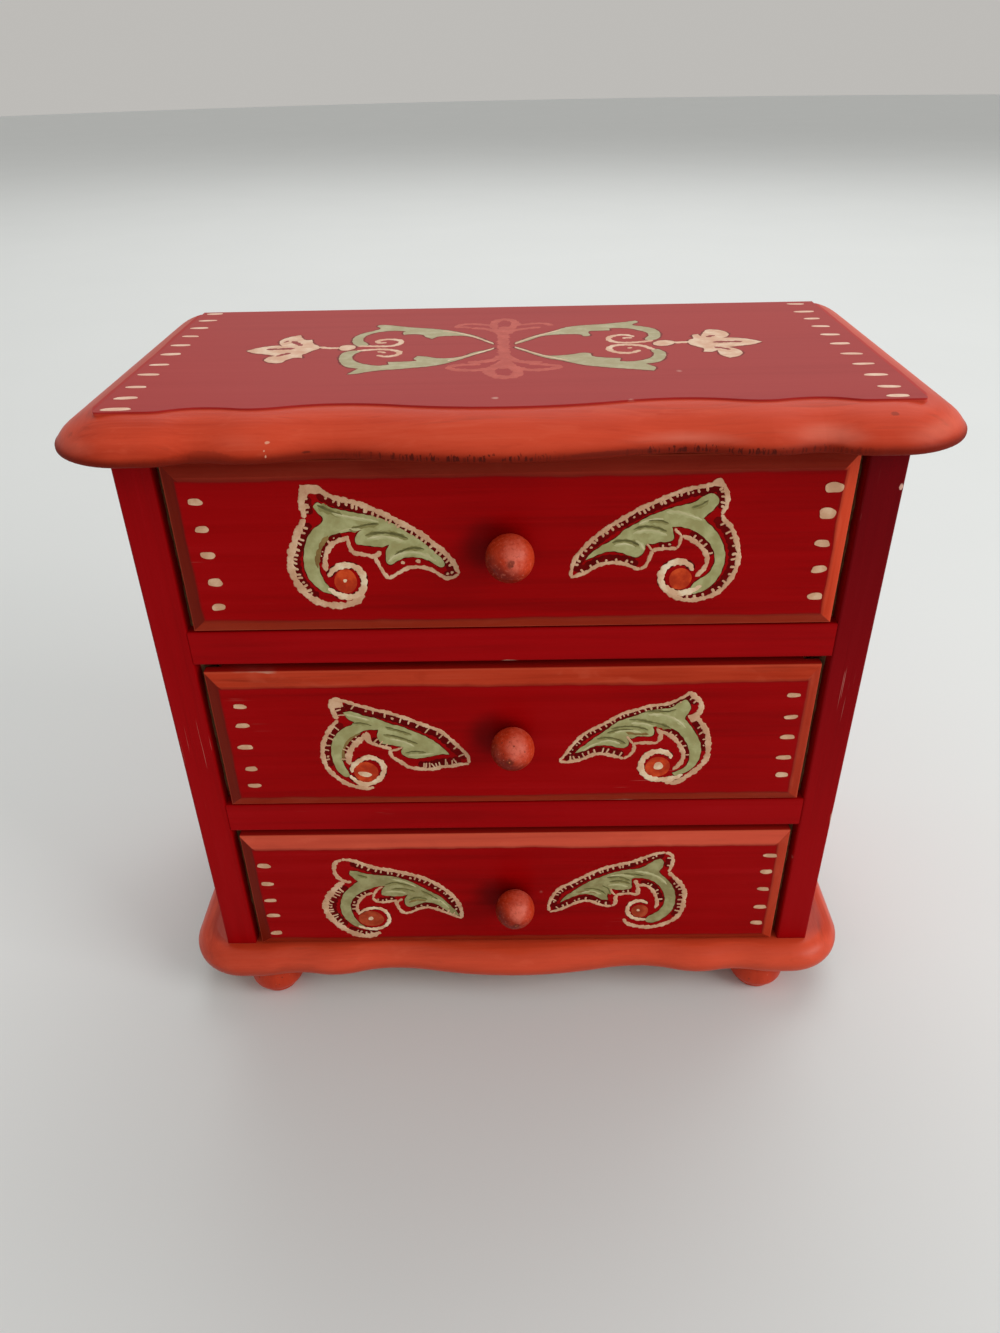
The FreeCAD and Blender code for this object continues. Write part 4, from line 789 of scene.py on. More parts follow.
# ---------------------------------------------------------------------------
# Painted ornament: thin raised strokes of paint. Points run along the middle of a stroke or round
# the edge of a filled shape, in mm: (x, z) on the drawer fronts, (x, y) on the top board.
# line, curl, shade, ochre, light: (width, points). tick: (line, side, from, to, number, length).
# dot and eye: (x, z, half width, half height). spot: (x, z, radius).
# ---------------------------------------------------------------------------
SCROLLS = {
    "top_left": {
        "line": [(1.15, [(-51.91, 167.97), (-50.03, 167.81), (-47.89, 167.23), (-46.43, 166.2), (-44.33, 165.15), (-41.86, 164.47), (-39.39, 163.81), (-36.93, 162.85), (-34.49, 161.68), (-32.03, 160.47), (-29.58, 159.05), (-27.12, 157.51), (-25.26, 156.43), (-23.4, 155.17), (-21.24, 153.36), (-19.39, 151.55), (-17.52, 149.9), (-15.97, 148.06), (-14.74, 146.22), (-13.99, 144.37), (-13.48, 143.11)]),
                 (0.85, [(-13.55, 143.11), (-14.92, 142.24), (-16.93, 141.9), (-18.7, 142.97), (-20.45, 144.26), (-22.4, 145.03), (-24.69, 145.29), (-26.69, 145.1), (-29.1, 143.89), (-30.84, 142.8), (-32.24, 141.93)]),
                 (0.8, [(-32.24, 141.93), (-33.28, 143.44), (-34.27, 145.48), (-34.95, 147.15), (-35.48, 148.61)]),
                 (0.95, [(-33.63, 149.95), (-35.48, 148.61), (-37.58, 149.01), (-39.51, 149.4), (-41.39, 149.72)]),
                 (0.85, [(-41.12, 149.79), (-41.64, 151.06), (-41.97, 152.68), (-42.09, 154.63)]),
                 (1.1, [(-41.84, 153.92), (-44.01, 153.42), (-46.08, 152.39), (-47.4, 150.8), (-48.29, 148.83), (-48.7, 146.64), (-48.69, 144.44)]),
                 (1.3, [(-52.06, 168.04), (-52.54, 166.04), (-52.72, 163.67), (-52.66, 161.61), (-52.49, 159.71)]),
                 (1.55, [(-52.51, 159.54), (-53.31, 158.34), (-54.28, 156.6), (-55.25, 154.68), (-56.29, 152.2), (-57.28, 149.7), (-57.83, 147.16), (-57.74, 144.59), (-57.12, 141.79), (-55.93, 139.32), (-54.5, 137.32), (-52.67, 135.76), (-50.43, 134.65), (-47.78, 134.11), (-45.07, 134.06), (-42.63, 134.75), (-40.66, 135.87), (-39.49, 137.53)])],
        "curl": [(1.3, [(-48.22, 142.76), (-47.14, 144.41), (-45.34, 145.67), (-42.98, 146.11), (-40.88, 145.6), (-39.53, 144.1), (-38.9, 142.04), (-39.11, 139.8), (-40.13, 137.85), (-42.09, 136.74), (-44.13, 136.62), (-46.4, 137.46), (-48.71, 139.39)])],
        "blob": [[(-52.59, 168.79), (-47.76, 168.37), (-46.23, 166.6), (-48.64, 166.31), (-50.53, 166.34), (-51.63, 164.67), (-52.76, 164.35)]],
        "leaf": [(-49.86, 162.77), (-48.93, 163.88), (-47.41, 163.3), (-45.27, 162.45), (-42.16, 161.64), (-39.04, 160.9), (-35.9, 160.23), (-33.4, 159.49), (-30.91, 158.41), (-28.76, 157.12), (-26.93, 155.68), (-24.76, 154.24), (-22.9, 152.78), (-21.36, 151.33), (-19.82, 149.72), (-18.27, 148.1), (-17.2, 146.48), (-17.35, 145.46), (-18.42, 145.22), (-19.7, 146.01), (-21.28, 147.13), (-23.21, 147.86), (-25.16, 148.22), (-27.47, 148.11), (-29.16, 147.41), (-30.55, 146.52), (-31.84, 146.14), (-32.42, 147.1), (-32.47, 148.92), (-32.15, 150.36), (-31.37, 151.93), (-33.12, 151.31), (-35.39, 151.49), (-37.97, 151.9), (-39.82, 152.28), (-39.99, 153.89), (-39.45, 155.12), (-38.04, 156.22), (-40.17, 155.98), (-42.14, 155.69), (-44.45, 155.35), (-46.13, 154.81), (-47.55, 153.77), (-48.73, 152.08), (-49.8, 149.94), (-50.37, 147.04), (-50.21, 143.72), (-49.28, 141.09), (-48.08, 139), (-47.72, 137.67), (-50.01, 138.28), (-51.82, 140.01), (-53.26, 141.91), (-54.1, 144.53), (-54.26, 147.1), (-53.99, 149.28), (-53.29, 152.15), (-51.96, 154.98), (-50.08, 157.06), (-48.32, 158.25), (-47.8, 159.39), (-48.93, 161.21)],
        "shade": [(0.7, [(-48.85, 163.26), (-46.89, 162.27), (-44.77, 161.2), (-42.61, 160.48)]),
                  (0.5, [(-41.43, 156.35), (-38.76, 157.15), (-36.13, 157.73), (-33.53, 157.9)]),
                  (0.7, [(-37.38, 154.66), (-34.41, 155.28), (-31.49, 155.23), (-28.63, 154.62), (-26.27, 153.55)]),
                  (0.6, [(-30.2, 148.88), (-27.64, 150.29), (-24.98, 150.89), (-22.23, 150.48)])],
        "ochre": [(1.1, [(-46.96, 154.68), (-48.56, 152.93), (-49.82, 150.59), (-50.69, 147.7), (-50.77, 145.39)])],
        "light": [(0.45, [(-44.07, 155.83), (-41.41, 156.56), (-38.34, 156.51)]),
                  (0.6, [(-37.15, 153.66), (-33.85, 154.25), (-30.63, 153.91), (-27.46, 152.79)]),
                  (0.7, [(-31.99, 147.1), (-30.05, 148.7), (-27.37, 149.49), (-24.42, 149.51), (-21.85, 148.56), (-19.25, 146.88)]),
                  (0.5, [(-45.42, 161.15), (-41.69, 160.05), (-37.27, 159.28), (-33.49, 158.45)])],
        "dot": (-43.8, 141.38, 3.07, 3.53),
        "eye": (-43.95, 141.57, 0.46, 0.53, 0),
        "tick": [(0, 1, 0.12, 0.95, 25, 1.06), (7, -1, 0.05, 0.62, 15, 1.12), (1, 1, 0.05, 0.22, 2, 1.32), (6, -1, 0.3, 0.9, 4, 1.12), (5, 1, 0.15, 0.8, 4, 0.86)],
        "spot": [(-28.16, 146.67, 0.49), (-24.09, 147.04, 0.59)],
    },
    "top_right": {
        "line": [(0.95, [(52.71, 168.07), (51.3, 167.17), (49, 166.67), (46.53, 166.25), (44.08, 165.59), (41.94, 164.82), (39.81, 163.85), (37.67, 162.87), (35.53, 161.85), (33.37, 160.87), (31.52, 159.73), (29.67, 158.56), (27.81, 157.38), (26.25, 156.36), (24.7, 155.12), (23.13, 153.92), (21.56, 152.53), (20, 150.78), (18.42, 148.93), (17.31, 147.29), (16.63, 145.48), (16.24, 143.72), (16.06, 141.69)]),
                 (0.85, [(16.06, 141.43), (17.93, 142.14), (19.9, 142.85), (21.52, 143.93), (23.13, 144.96), (25.08, 145.48), (27.05, 145.7), (29.36, 145.48), (31.36, 144.83), (33.05, 143.99), (34.39, 143.6)]),
                 (0.8, [(34.39, 143.6), (35.65, 144.57), (36.46, 146.31), (37, 148.12), (37.23, 149.01)]),
                 (0.5, [(35.64, 151.01), (36.45, 150.1), (37.23, 149.01)]),
                 (0.8, [(37.16, 149.09), (38.93, 149.42), (41.2, 149.56), (43.64, 149.52)]),
                 (0.65, [(43.64, 149.52), (44.18, 150.87), (44.39, 152.29), (44.48, 153.17)]),
                 (0.55, [(42.64, 155.21), (43.6, 154.07), (44.64, 153.17)]),
                 (1, [(44.64, 153.1), (46.48, 152.43), (48.19, 151.33), (49.6, 150.13), (50.88, 148.6), (51.71, 146.78), (51.72, 144.96), (50.91, 143.14), (49.17, 141.24)]),
                 (1, [(52.71, 168.07), (54.18, 166.55), (55.03, 164.7), (55.36, 162.84), (55.14, 160.8), (54.24, 159.04)]),
                 (1.05, [(54.26, 158.93), (55.33, 157.19), (56.77, 155.77), (57.83, 154), (58.74, 151.87), (59.46, 149.54), (59.91, 147.01), (59.81, 144.46), (59.13, 141.71), (57.91, 139.31), (56.46, 137.27), (54.92, 135.97), (53.01, 135.05), (50.72, 134.44), (48.4, 134.17), (46.02, 134.48), (43.93, 135.39), (42.17, 136.56), (40.53, 138.47), (39.61, 140.73)])],
        "curl": [(1.3, [(48.35, 143), (47.49, 144.48), (46.1, 145.42), (44.27, 145.71), (42.35, 145.12), (40.81, 143.79), (40.04, 142.03), (40.08, 140.17), (41.04, 138.28), (42.81, 137), (44.86, 136.36), (47.18, 136.55), (49.44, 137.5), (51, 138.6)])],
        "blob": [[(52, 168.58), (53.16, 168.82), (53.96, 167.72), (54.51, 166.38), (53.08, 166.57), (51.49, 166.76), (50.66, 167.28)]],
        "leaf": [(51.71, 164.59), (52.9, 163.73), (53.16, 162.13), (52.13, 160.44), (50.83, 159.09), (49.67, 157.94), (51.26, 156.39), (53.04, 154.61), (54.55, 152.47), (55.72, 149.96), (56.37, 147.43), (56.32, 144.88), (55.64, 141.95), (54.54, 139.74), (52.75, 137.71), (50.85, 136.6), (48.55, 136.26), (48.03, 137.59), (48.95, 139.27), (50.48, 140.63), (52.19, 141.83), (53.24, 143.47), (53.75, 145.29), (53.67, 147.11), (52.93, 149.29), (51.77, 151.1), (49.99, 152.9), (47.92, 154.35), (45.91, 155.22), (43.62, 155.75), (41.9, 155.67), (42.31, 154.09), (42.59, 152.49), (41.44, 151.56), (39.11, 151.49), (37.04, 150.92), (35.58, 150.94), (35.32, 149.94), (34.82, 148.44), (33.84, 147.37), (32.54, 147.29), (30.54, 148.04), (28.54, 148.76), (26.25, 149.02), (23.98, 148.48), (22.06, 147.57), (19.96, 146.59), (20.73, 147.96), (22.32, 149.37), (24.22, 150.78), (26.44, 152.02), (28.31, 153.55), (29.53, 154.94), (31.41, 156.03), (33.57, 157.38), (35.73, 158.73), (38.21, 159.72), (40.38, 160.54), (42.85, 161.35), (45.03, 161.83), (47.19, 162.47), (48.96, 163.79), (50.3, 164.54)],
        "shade": [(0.6, [(31.94, 155.18), (34.62, 155.9), (37.86, 155.57), (40.67, 154.47)]),
                  (0.6, [(26.62, 151.59), (29.03, 152.08), (31.64, 151.76), (33.81, 150.61)]),
                  (0.45, [(35.16, 157.53), (38.35, 157.65), (40.98, 156.74)]),
                  (0.5, [(46.37, 160.95), (48.53, 161.6), (50.62, 162.92)])],
        "ochre": [],
        "light": [(0.6, [(40.1, 160.03), (43.3, 159.77), (46.57, 158.72), (49.55, 157.53)]),
                  (0.6, [(31.84, 154.09), (35.01, 154.84), (37.93, 154.51), (40.85, 153.41)]),
                  (0.5, [(27.15, 150.73), (30.05, 151.11), (32.7, 150.27)]),
                  (0.55, [(32.59, 152.13), (34.11, 151.04), (35.1, 149.23)]),
                  (0.5, [(33.29, 156.69), (36.42, 157.85), (39.61, 157.97)])],
        "dot": (45.18, 140.64, 3.04, 3.11),
        "eye": None,
        "tick": [(0, -1, 0.06, 0.93, 27, 1.12), (9, 1, 0.03, 0.78, 14, 1.19), (1, -1, 0.15, 0.92, 7, 1.12), (8, 1, 0.15, 0.9, 5, 1.12), (7, -1, 0.15, 0.6, 4, 1.06), (4, -1, 0.35, 0.8, 2, 1.12)],
        "spot": [],
    },
    "middle_left": {
        "line": [(0.95, [(-50.91, 103.14), (-49.02, 102.8), (-46.85, 101.99), (-44.38, 100.97), (-41.88, 100.15), (-39.39, 99.21), (-36.85, 98.65), (-34.97, 97.91), (-32.46, 96.88), (-30.25, 95.97), (-28.06, 94.82), (-25.84, 93.78), (-23.63, 92.7), (-21.71, 91.82), (-19.83, 90.17), (-18.28, 88.35), (-16.71, 86.47), (-15.14, 84.58), (-13.88, 82.85), (-13.21, 81.04), (-13.21, 79.35)]),
                 (1, [(-13.21, 79.18), (-15.69, 79.05), (-18.4, 78.41), (-21.43, 78.2), (-23.48, 77.47), (-26.51, 77.34), (-29.17, 77.68), (-31.49, 78.27), (-33.06, 79.66), (-34.32, 80.73), (-35.83, 81.98), (-36.51, 83.5), (-36.17, 84.83)]),
                 (0.6, [(-36.03, 84.53), (-34.34, 84.92), (-32.68, 85.77)]),
                 (0.9, [(-35.98, 85.07), (-37.92, 85.77), (-39.84, 86.46), (-41.43, 87.23), (-42.84, 88.07)]),
                 (1.5, [(-42.74, 90.93), (-44.18, 89.53), (-45.92, 87.88), (-47.56, 86.04), (-48.62, 84.1), (-49.2, 82.02), (-49.17, 79.4)]),
                 (1.3, [(-50.91, 103.14), (-52.1, 102.23), (-52.18, 100.35), (-51.78, 98.18), (-51.08, 96.3)]),
                 (1.15, [(-50.89, 95.98), (-52.76, 93.8), (-54.52, 91.2), (-55.63, 88.77), (-56.41, 86.3), (-56.77, 83.81), (-56.67, 81.29), (-56.01, 78.31), (-54.74, 76.15), (-53.09, 74.18), (-50.93, 72.19), (-48.66, 71.06), (-46, 70.37), (-43.99, 70.07), (-42.57, 70.66)])],
        "curl": [(1.4, [(-48.8, 76.4), (-48.32, 78.53), (-46.81, 80.21), (-44.94, 81.53), (-42.89, 82.09), (-40.95, 81.39), (-39.47, 79.97), (-38.9, 77.92), (-39.34, 75.83), (-40.6, 73.77), (-42.23, 72.58), (-44.51, 71.74), (-46.52, 72.12), (-48.02, 73.37), (-49.52, 75.29)])],
        "blob": [[(-42.99, 91.75), (-42.09, 90.8), (-41.87, 88.96), (-41.41, 87.39), (-42.74, 87.33), (-43.55, 88.58), (-44.19, 89.41)],
                 [(-51.64, 103.78), (-49.42, 103.51), (-48.86, 100.69), (-50.05, 100.71), (-51.06, 100.33), (-52.37, 101.53)]],
        "leaf": [(-49.09, 98.53), (-47.48, 99.02), (-45.28, 98.43), (-42.8, 97.24), (-40.27, 96.57), (-37.77, 95.37), (-35.27, 94.13), (-32.71, 93.45), (-30.2, 92.04), (-27.67, 90.78), (-25.45, 89.48), (-23.24, 87.85), (-21.36, 85.97), (-19.8, 84.12), (-18.93, 82.81), (-21.18, 83.01), (-23.54, 82.46), (-26.24, 81.87), (-28.93, 81.49), (-31.23, 81.91), (-32.82, 82.94), (-33.19, 84.28), (-32.55, 85.77), (-34.56, 86.3), (-36.51, 86.78), (-38.72, 87.27), (-39.76, 88.93), (-39.79, 90.89), (-39.34, 92.3), (-41.3, 92.37), (-43.28, 92.16), (-45.35, 91.06), (-47.11, 89.86), (-48.93, 88.17), (-50.45, 85.71), (-51.15, 82.8), (-50.96, 79.93), (-50.06, 77.28), (-49.22, 74.99), (-50.33, 74.7), (-51.61, 75.41), (-53.08, 77.41), (-53.8, 79.98), (-54.14, 82.93), (-53.95, 85.85), (-53.16, 88.73), (-51.58, 91.15), (-49.4, 93.06), (-47, 94.23), (-46.05, 95.26), (-47.48, 95.92), (-48.39, 97.13)],
        "shade": [(0.5, [(-46.79, 94.71), (-44.33, 94.83), (-41.16, 93.82)]),
                  (0.45, [(-38.18, 90.54), (-34.94, 90), (-31.75, 88.72), (-28.07, 87.02)]),
                  (0.45, [(-32.11, 83.64), (-29.42, 84.14), (-25.79, 83.75)]),
                  (0.4, [(-37.29, 93.36), (-33.47, 92.01), (-29.66, 90.4)])],
        "ochre": [(0.7, [(-44.69, 91.13), (-47.48, 89.46), (-49.55, 87.02), (-50.61, 84.14), (-50.7, 80.78)])],
        "light": [(0.45, [(-36.34, 88.87), (-32.46, 87.91), (-29.12, 86.09)]),
                  (0.4, [(-48.55, 98.13), (-45.41, 97.09), (-41.63, 95.83)]),
                  (0.4, [(-31.17, 82.79), (-27.5, 82.94), (-23.49, 83.3)])],
        "dot": (-44.48, 76.51, 3.67, 3.96),
        "eye": (-44.82, 75.7, 2.04, 0.95, -8),
        "tick": [(0, 1, 0.1, 0.93, 14, 1.29), (1, 1, 0.12, 0.55, 10, 1.56), (6, -1, 0.05, 0.5, 7, 1.36), (4, 1, 0.15, 0.9, 5, 1.02), (5, -1, 0.35, 0.95, 3, 2.11), (3, 1, 0.1, 0.9, 3, 1.36)],
        "spot": [],
    },
    "middle_right": {
        "line": [(0.85, [(50.95, 104.41), (50.12, 103.12), (48.3, 101.99), (46.48, 100.9), (44.62, 100.15), (42.09, 99.8), (39.55, 99.45), (37.04, 98.62), (34.52, 97.76), (32.3, 97.01), (30.11, 95.66), (28.23, 94.29), (26.34, 93.12), (24.43, 91.94), (22.19, 90.57), (20.28, 88.97), (18.69, 86.95), (17.09, 84.7), (15.81, 82.44), (14.68, 80.82), (13.93, 79.99)]),
                 (0.95, [(13.86, 79.82), (15.54, 79.37), (17.86, 79.72), (20.51, 80.31), (22.48, 81.33), (24.44, 82.26), (26.75, 82.35), (29.09, 81.81), (31.45, 81.06), (33.13, 80.49)]),
                 (0.8, [(33.14, 80.45), (34.74, 81.56), (35.81, 83.13), (36.09, 84.66), (35.72, 85.9)]),
                 (0.55, [(33.7, 88.8), (34.77, 87.15), (35.91, 85.57)]),
                 (0.85, [(35.72, 86.02), (37.78, 86.2), (40.07, 86.24), (42.05, 86.13), (43.17, 86.53)]),
                 (1, [(43.17, 86.53), (43.68, 88.56), (43.43, 89.87), (42.28, 91.42)]),
                 (1.1, [(43.06, 90.48), (44.73, 89.85), (46.78, 88.6), (48.39, 86.94), (49.9, 84.44), (50.87, 81.93), (50.68, 79.42), (49.63, 77.53), (48.15, 75.98)]),
                 (1.25, [(50.95, 104.41), (52.38, 102.7), (54.05, 101.13), (54.67, 99.25), (54.4, 97.29), (53.65, 95.64)]),
                 (1.35, [(53.68, 95.32), (55.16, 93.31), (56.62, 90.87), (57.57, 88.43), (57.92, 85.56), (58.14, 82.65), (57.76, 79.73), (56.33, 77.22), (54.52, 75.11), (52.65, 73.42), (50.77, 71.81), (48.82, 70.88), (46.09, 71.27)])],
        "curl": [(1.6, [(47.42, 80.31), (46.82, 81.66), (45.26, 82.69), (43.41, 83.05), (41.3, 82.5), (39.49, 80.85), (38.56, 78.68), (38.64, 76.21), (39.84, 74.14), (41.67, 72.81), (44, 72.26), (46.69, 72.3), (49.65, 73.12), (51.24, 74.3)])],
        "blob": [[(50.98, 95.96), (52.29, 96.45), (53.5, 97.3), (54.29, 96.42), (54.43, 94.91), (52.86, 93.74), (52.21, 93.75), (51.52, 94.96)]],
        "leaf": [(50.26, 101.46), (51.16, 100.28), (51.68, 98.31), (50.98, 96.71), (50.35, 95.06), (51.99, 92.56), (53.51, 90.11), (54.87, 87.65), (55.83, 84.76), (55.94, 81.44), (55.21, 78.5), (53.44, 75.98), (51.22, 74.52), (48.93, 73.82), (48.11, 74.78), (50.43, 75.94), (52.05, 77.37), (52.77, 79.81), (52.58, 82.74), (51.67, 85.65), (50.25, 88.13), (48.26, 90.52), (45.89, 91.77), (43.24, 92.45), (41.15, 92.16), (41.6, 90.3), (41.4, 89.01), (39.59, 88.67), (36.97, 88.75), (35.12, 87.96), (33.78, 88.39), (34.35, 86.33), (33.96, 85.02), (31.94, 84.51), (29.27, 85.34), (26.63, 85.59), (24.33, 85.25), (22.06, 84.21), (20.1, 83.16), (18.62, 82.85), (19.74, 84.29), (21.68, 85.91), (23.91, 88.1), (26.13, 89.9), (28.34, 91.88), (30.52, 93.86), (33.36, 95.21), (35.89, 96.16), (38.4, 97.3), (40.92, 98.05), (43.46, 98.44), (46, 98.84), (47.8, 100.29), (49.16, 101.28)],
        "shade": [(0.6, [(34.03, 94.84), (36.62, 94.72), (39.9, 93.95), (43.2, 93.1), (46.56, 91.52)]),
                  (0.55, [(29, 91.63), (32.86, 92.38), (36.45, 92.16), (39.93, 91.06)]),
                  (0.55, [(24.89, 88.04), (27.83, 88.4), (31.14, 87.62), (33.51, 86.14)]),
                  (0.45, [(38.39, 97.54), (41.58, 97.81), (45.45, 97.59), (47.64, 98.38)]),
                  (0.4, [(27.76, 90.11), (31.62, 91.27), (35.53, 91.12)])],
        "ochre": [(0.9, [(33.3, 90.23), (36.27, 89.57), (40.19, 89.51)])],
        "light": [(0.55, [(34.74, 93.63), (38, 93.34), (41.3, 92.4)]),
                  (0.65, [(39.41, 96.66), (42.96, 96.48), (46.26, 95.44), (48.98, 93.72), (50.84, 91.57)]),
                  (0.5, [(30.03, 90.28), (34.24, 90.9), (37.87, 90.16)]),
                  (0.5, [(25.59, 86.8), (28.53, 87.25), (31.86, 86.17)]),
                  (0.4, [(20.75, 83.65), (23.98, 85.88), (26.26, 86.67)])],
        "dot": (43.49, 77.12, 3.74, 3.78),
        "eye": (43.73, 77.54, 1.29, 1.55, 0),
        "tick": [(0, -1, 0.08, 0.93, 24, 0.88), (1, -1, 0.12, 0.95, 10, 1.29), (8, 1, 0.06, 0.4, 4, 1.02), (7, 1, 0.1, 0.5, 2, 1.02), (6, -1, 0.1, 0.7, 5, 0.88)],
        "spot": [],
    },
    "bottom_left": {
        "line": [(1.15, [(-55.85, 40.51), (-53.53, 40.38), (-51.09, 39.56), (-48.69, 38.3), (-45.92, 37.03), (-43.09, 36.24), (-40.25, 35.61), (-37.41, 34.77), (-34.57, 33.88), (-31.73, 32.84), (-28.91, 31.45), (-26.45, 29.75), (-24, 27.68), (-21.91, 25.35), (-20.17, 23.01), (-18.82, 20.08), (-18.02, 16.92), (-18.05, 13.2)]),
                 (0.85, [(-18.06, 13.1), (-19.45, 13.86), (-21.64, 15.17), (-23.83, 16.26), (-26.38, 17.62), (-28.94, 18.44), (-31.95, 17.96), (-34.66, 16.42), (-36.96, 15.71)]),
                 (1, [(-36.97, 15.6), (-38.28, 17.05), (-39.22, 19.43), (-39.61, 21.68)]),
                 (0.6, [(-39.07, 21.41), (-37.29, 22.53)]),
                 (0.8, [(-39.11, 21.93), (-41.36, 21.55), (-44, 21.07), (-46.18, 21.62), (-47.29, 23.29)]),
                 (0.7, [(-47.16, 23.19), (-46.41, 25.34), (-45.14, 27.17), (-43.47, 28.27)]),
                 (0.85, [(-46.96, 25.35), (-48.86, 24.76), (-50.85, 23.24), (-52.16, 21.18), (-52.9, 18.58), (-52.61, 15.82)]),
                 (1.1, [(-55.85, 40.51), (-57.91, 39.17), (-58.64, 36.77), (-58.52, 34.28), (-57.47, 32.26), (-55.96, 30.98), (-53.64, 30.44)]),
                 (1.7, [(-56.19, 30.58), (-58.62, 28.39), (-60.56, 25.86), (-62.25, 23.3), (-63.27, 20.3), (-63.3, 17.14), (-62.48, 14.47), (-60.93, 11.77), (-58.92, 9.42), (-56.56, 7.27), (-53.69, 5.59), (-51.07, 5), (-48.36, 5.51), (-45.96, 6.79)])],
        "curl": [(1.05, [(-52.72, 15.51), (-51.06, 17.13), (-48.73, 18.15), (-46.47, 18.38), (-44.3, 17.56), (-42.89, 15.53), (-42.49, 13.12), (-43.44, 10.61), (-45.39, 9.02), (-47.91, 8.34), (-50.73, 8.71), (-53.26, 9.94)])],
        "blob": [],
        "leaf": [(-53.59, 35.55), (-51.51, 35.37), (-49.06, 34.39), (-46.21, 33.75), (-42.98, 33.31), (-40.09, 32.96), (-37.26, 31.92), (-34.43, 30.62), (-31.64, 28.61), (-29.19, 26.74), (-26.72, 24.91), (-24.59, 23.33), (-22.86, 20.97), (-21.11, 18.6), (-19.71, 16.47), (-18.75, 14.39), (-20.89, 15.27), (-23.04, 17.1), (-25.18, 19.18), (-27.33, 20.52), (-29.91, 20.86), (-32.57, 19.86), (-34.87, 18.84), (-36.31, 19.6), (-36.68, 21.69), (-35.81, 24.01), (-35.03, 24.72), (-37.1, 24.03), (-39.33, 23.85), (-41.9, 24.1), (-43.86, 24.48), (-44.12, 25.83), (-43.47, 27.45), (-42.63, 28.66), (-45.22, 28.45), (-47.89, 27.31), (-50.19, 26.27), (-52.18, 24.76), (-53.87, 22.72), (-54.87, 20.13), (-54.82, 16.97), (-54.02, 13.77), (-52.41, 10.9), (-50.33, 8.92), (-52.23, 8.84), (-54.39, 10.01), (-56.44, 12.19), (-57.85, 14.89), (-58.39, 18.6), (-57.81, 22.25), (-56.56, 25.34), (-54.45, 27.87), (-52.42, 29.87), (-51.44, 30.87), (-52.87, 32.65), (-53.86, 34.36)],
        "shade": [(0.5, [(-51.29, 33.83), (-49.54, 33.15), (-48.13, 32.63)]),
                  (0.5, [(-42.59, 29.17), (-39.58, 30.14), (-35.99, 29.28), (-33.14, 28.12)]),
                  (0.5, [(-40.92, 27.11), (-36.86, 27.36), (-32.91, 25.97)]),
                  (0.6, [(-35.2, 22.24), (-32.35, 23.24), (-29.08, 22.31)]),
                  (0.5, [(-31.04, 26.56), (-27.51, 23.94), (-24.35, 20.79)])],
        "ochre": [(0.7, [(-35.47, 20.94), (-32.44, 21.94), (-29.5, 21.59)])],
        "light": [(0.45, [(-40.2, 31.66), (-36.62, 30.7), (-32.41, 28.11)]),
                  (0.6, [(-27.57, 22.8), (-24.69, 21.41), (-22.06, 18.14)]),
                  (0.4, [(-42.86, 25.96), (-39.16, 26.16), (-35.9, 25.35)])],
        "dot": (-48.6, 13.37, 4.26, 3.60),
        "eye": (-48.7, 13.48, 0.91, 0.74, 20),
        "tick": [(0, 1, 0.1, 0.93, 22, 1.22), (8, -1, 0.06, 0.62, 13, 1.67), (6, 1, 0.1, 0.9, 6, 1.29), (1, 1, 0.1, 0.85, 7, 1.06), (8, -1, 0.72, 0.97, 4, 1.14), (4, 1, 0.1, 0.8, 4, 0.99)],
        "spot": [],
    },
    "bottom_right": {
        "line": [(0.95, [(48.58, 42.13), (46.46, 41.87), (44.02, 41.08), (41.6, 39.91), (39.17, 38.73), (36.72, 37.78), (33.88, 37.09), (31.4, 36.39), (28.92, 35.44), (26.44, 34.24), (24.31, 32.92), (22.18, 31.56), (20.04, 30.08), (17.89, 28.6), (15.72, 27.36), (13.91, 25.6), (12.65, 23.31), (11.76, 20.94), (11.19, 18.45), (11.5, 16.24)]),
                 (0.9, [(11.62, 15.81), (13.66, 16.31), (15.88, 17.33), (18.09, 18.61), (20.28, 19.89), (22.85, 20.79), (25.44, 20.54), (27.7, 19.21), (29.96, 18.44), (32.19, 18.15)]),
                 (1, [(32.38, 18.15), (33.42, 19.7), (33.36, 21.78), (33.51, 23.32)]),
                 (0.55, [(31.47, 26.42), (32.29, 24.37), (33.52, 23.22)]),
                 (0.85, [(33.51, 23.32), (35.62, 23.81), (38.18, 23.97), (40.42, 23.22)]),
                 (1.1, [(40.61, 23.22), (40.64, 25.78), (40.13, 28.33), (39.3, 30.05)]),
                 (0.95, [(40.6, 27.71), (42.71, 27.73), (44.62, 26.44), (46.06, 24.12), (46.96, 21.58), (47.33, 18.98), (46.79, 17)]),
                 (0.95, [(48.58, 42.13), (50.42, 41.23), (51.09, 39.09), (50.81, 36.15), (50.14, 33.59)]),
                 (1.25, [(50.15, 33.44), (52.1, 31.17), (54.12, 28.63), (55.6, 26.07), (56.15, 23.51), (56.08, 20.41), (55.97, 17.29), (55.11, 14.14), (53.45, 11.6), (51.32, 10.03), (48.78, 8.77), (45.82, 8), (42.8, 8.15), (39.74, 8.9), (37.49, 10.22), (36.46, 12.17)])],
        "curl": [(1.2, [(44.17, 19.18), (42.81, 20.24), (40.95, 20.53), (38.86, 19.52), (37.71, 17.55), (37.81, 15.02), (39.15, 12.93), (41.45, 11.83), (44.08, 11.74)])],
        "blob": [],
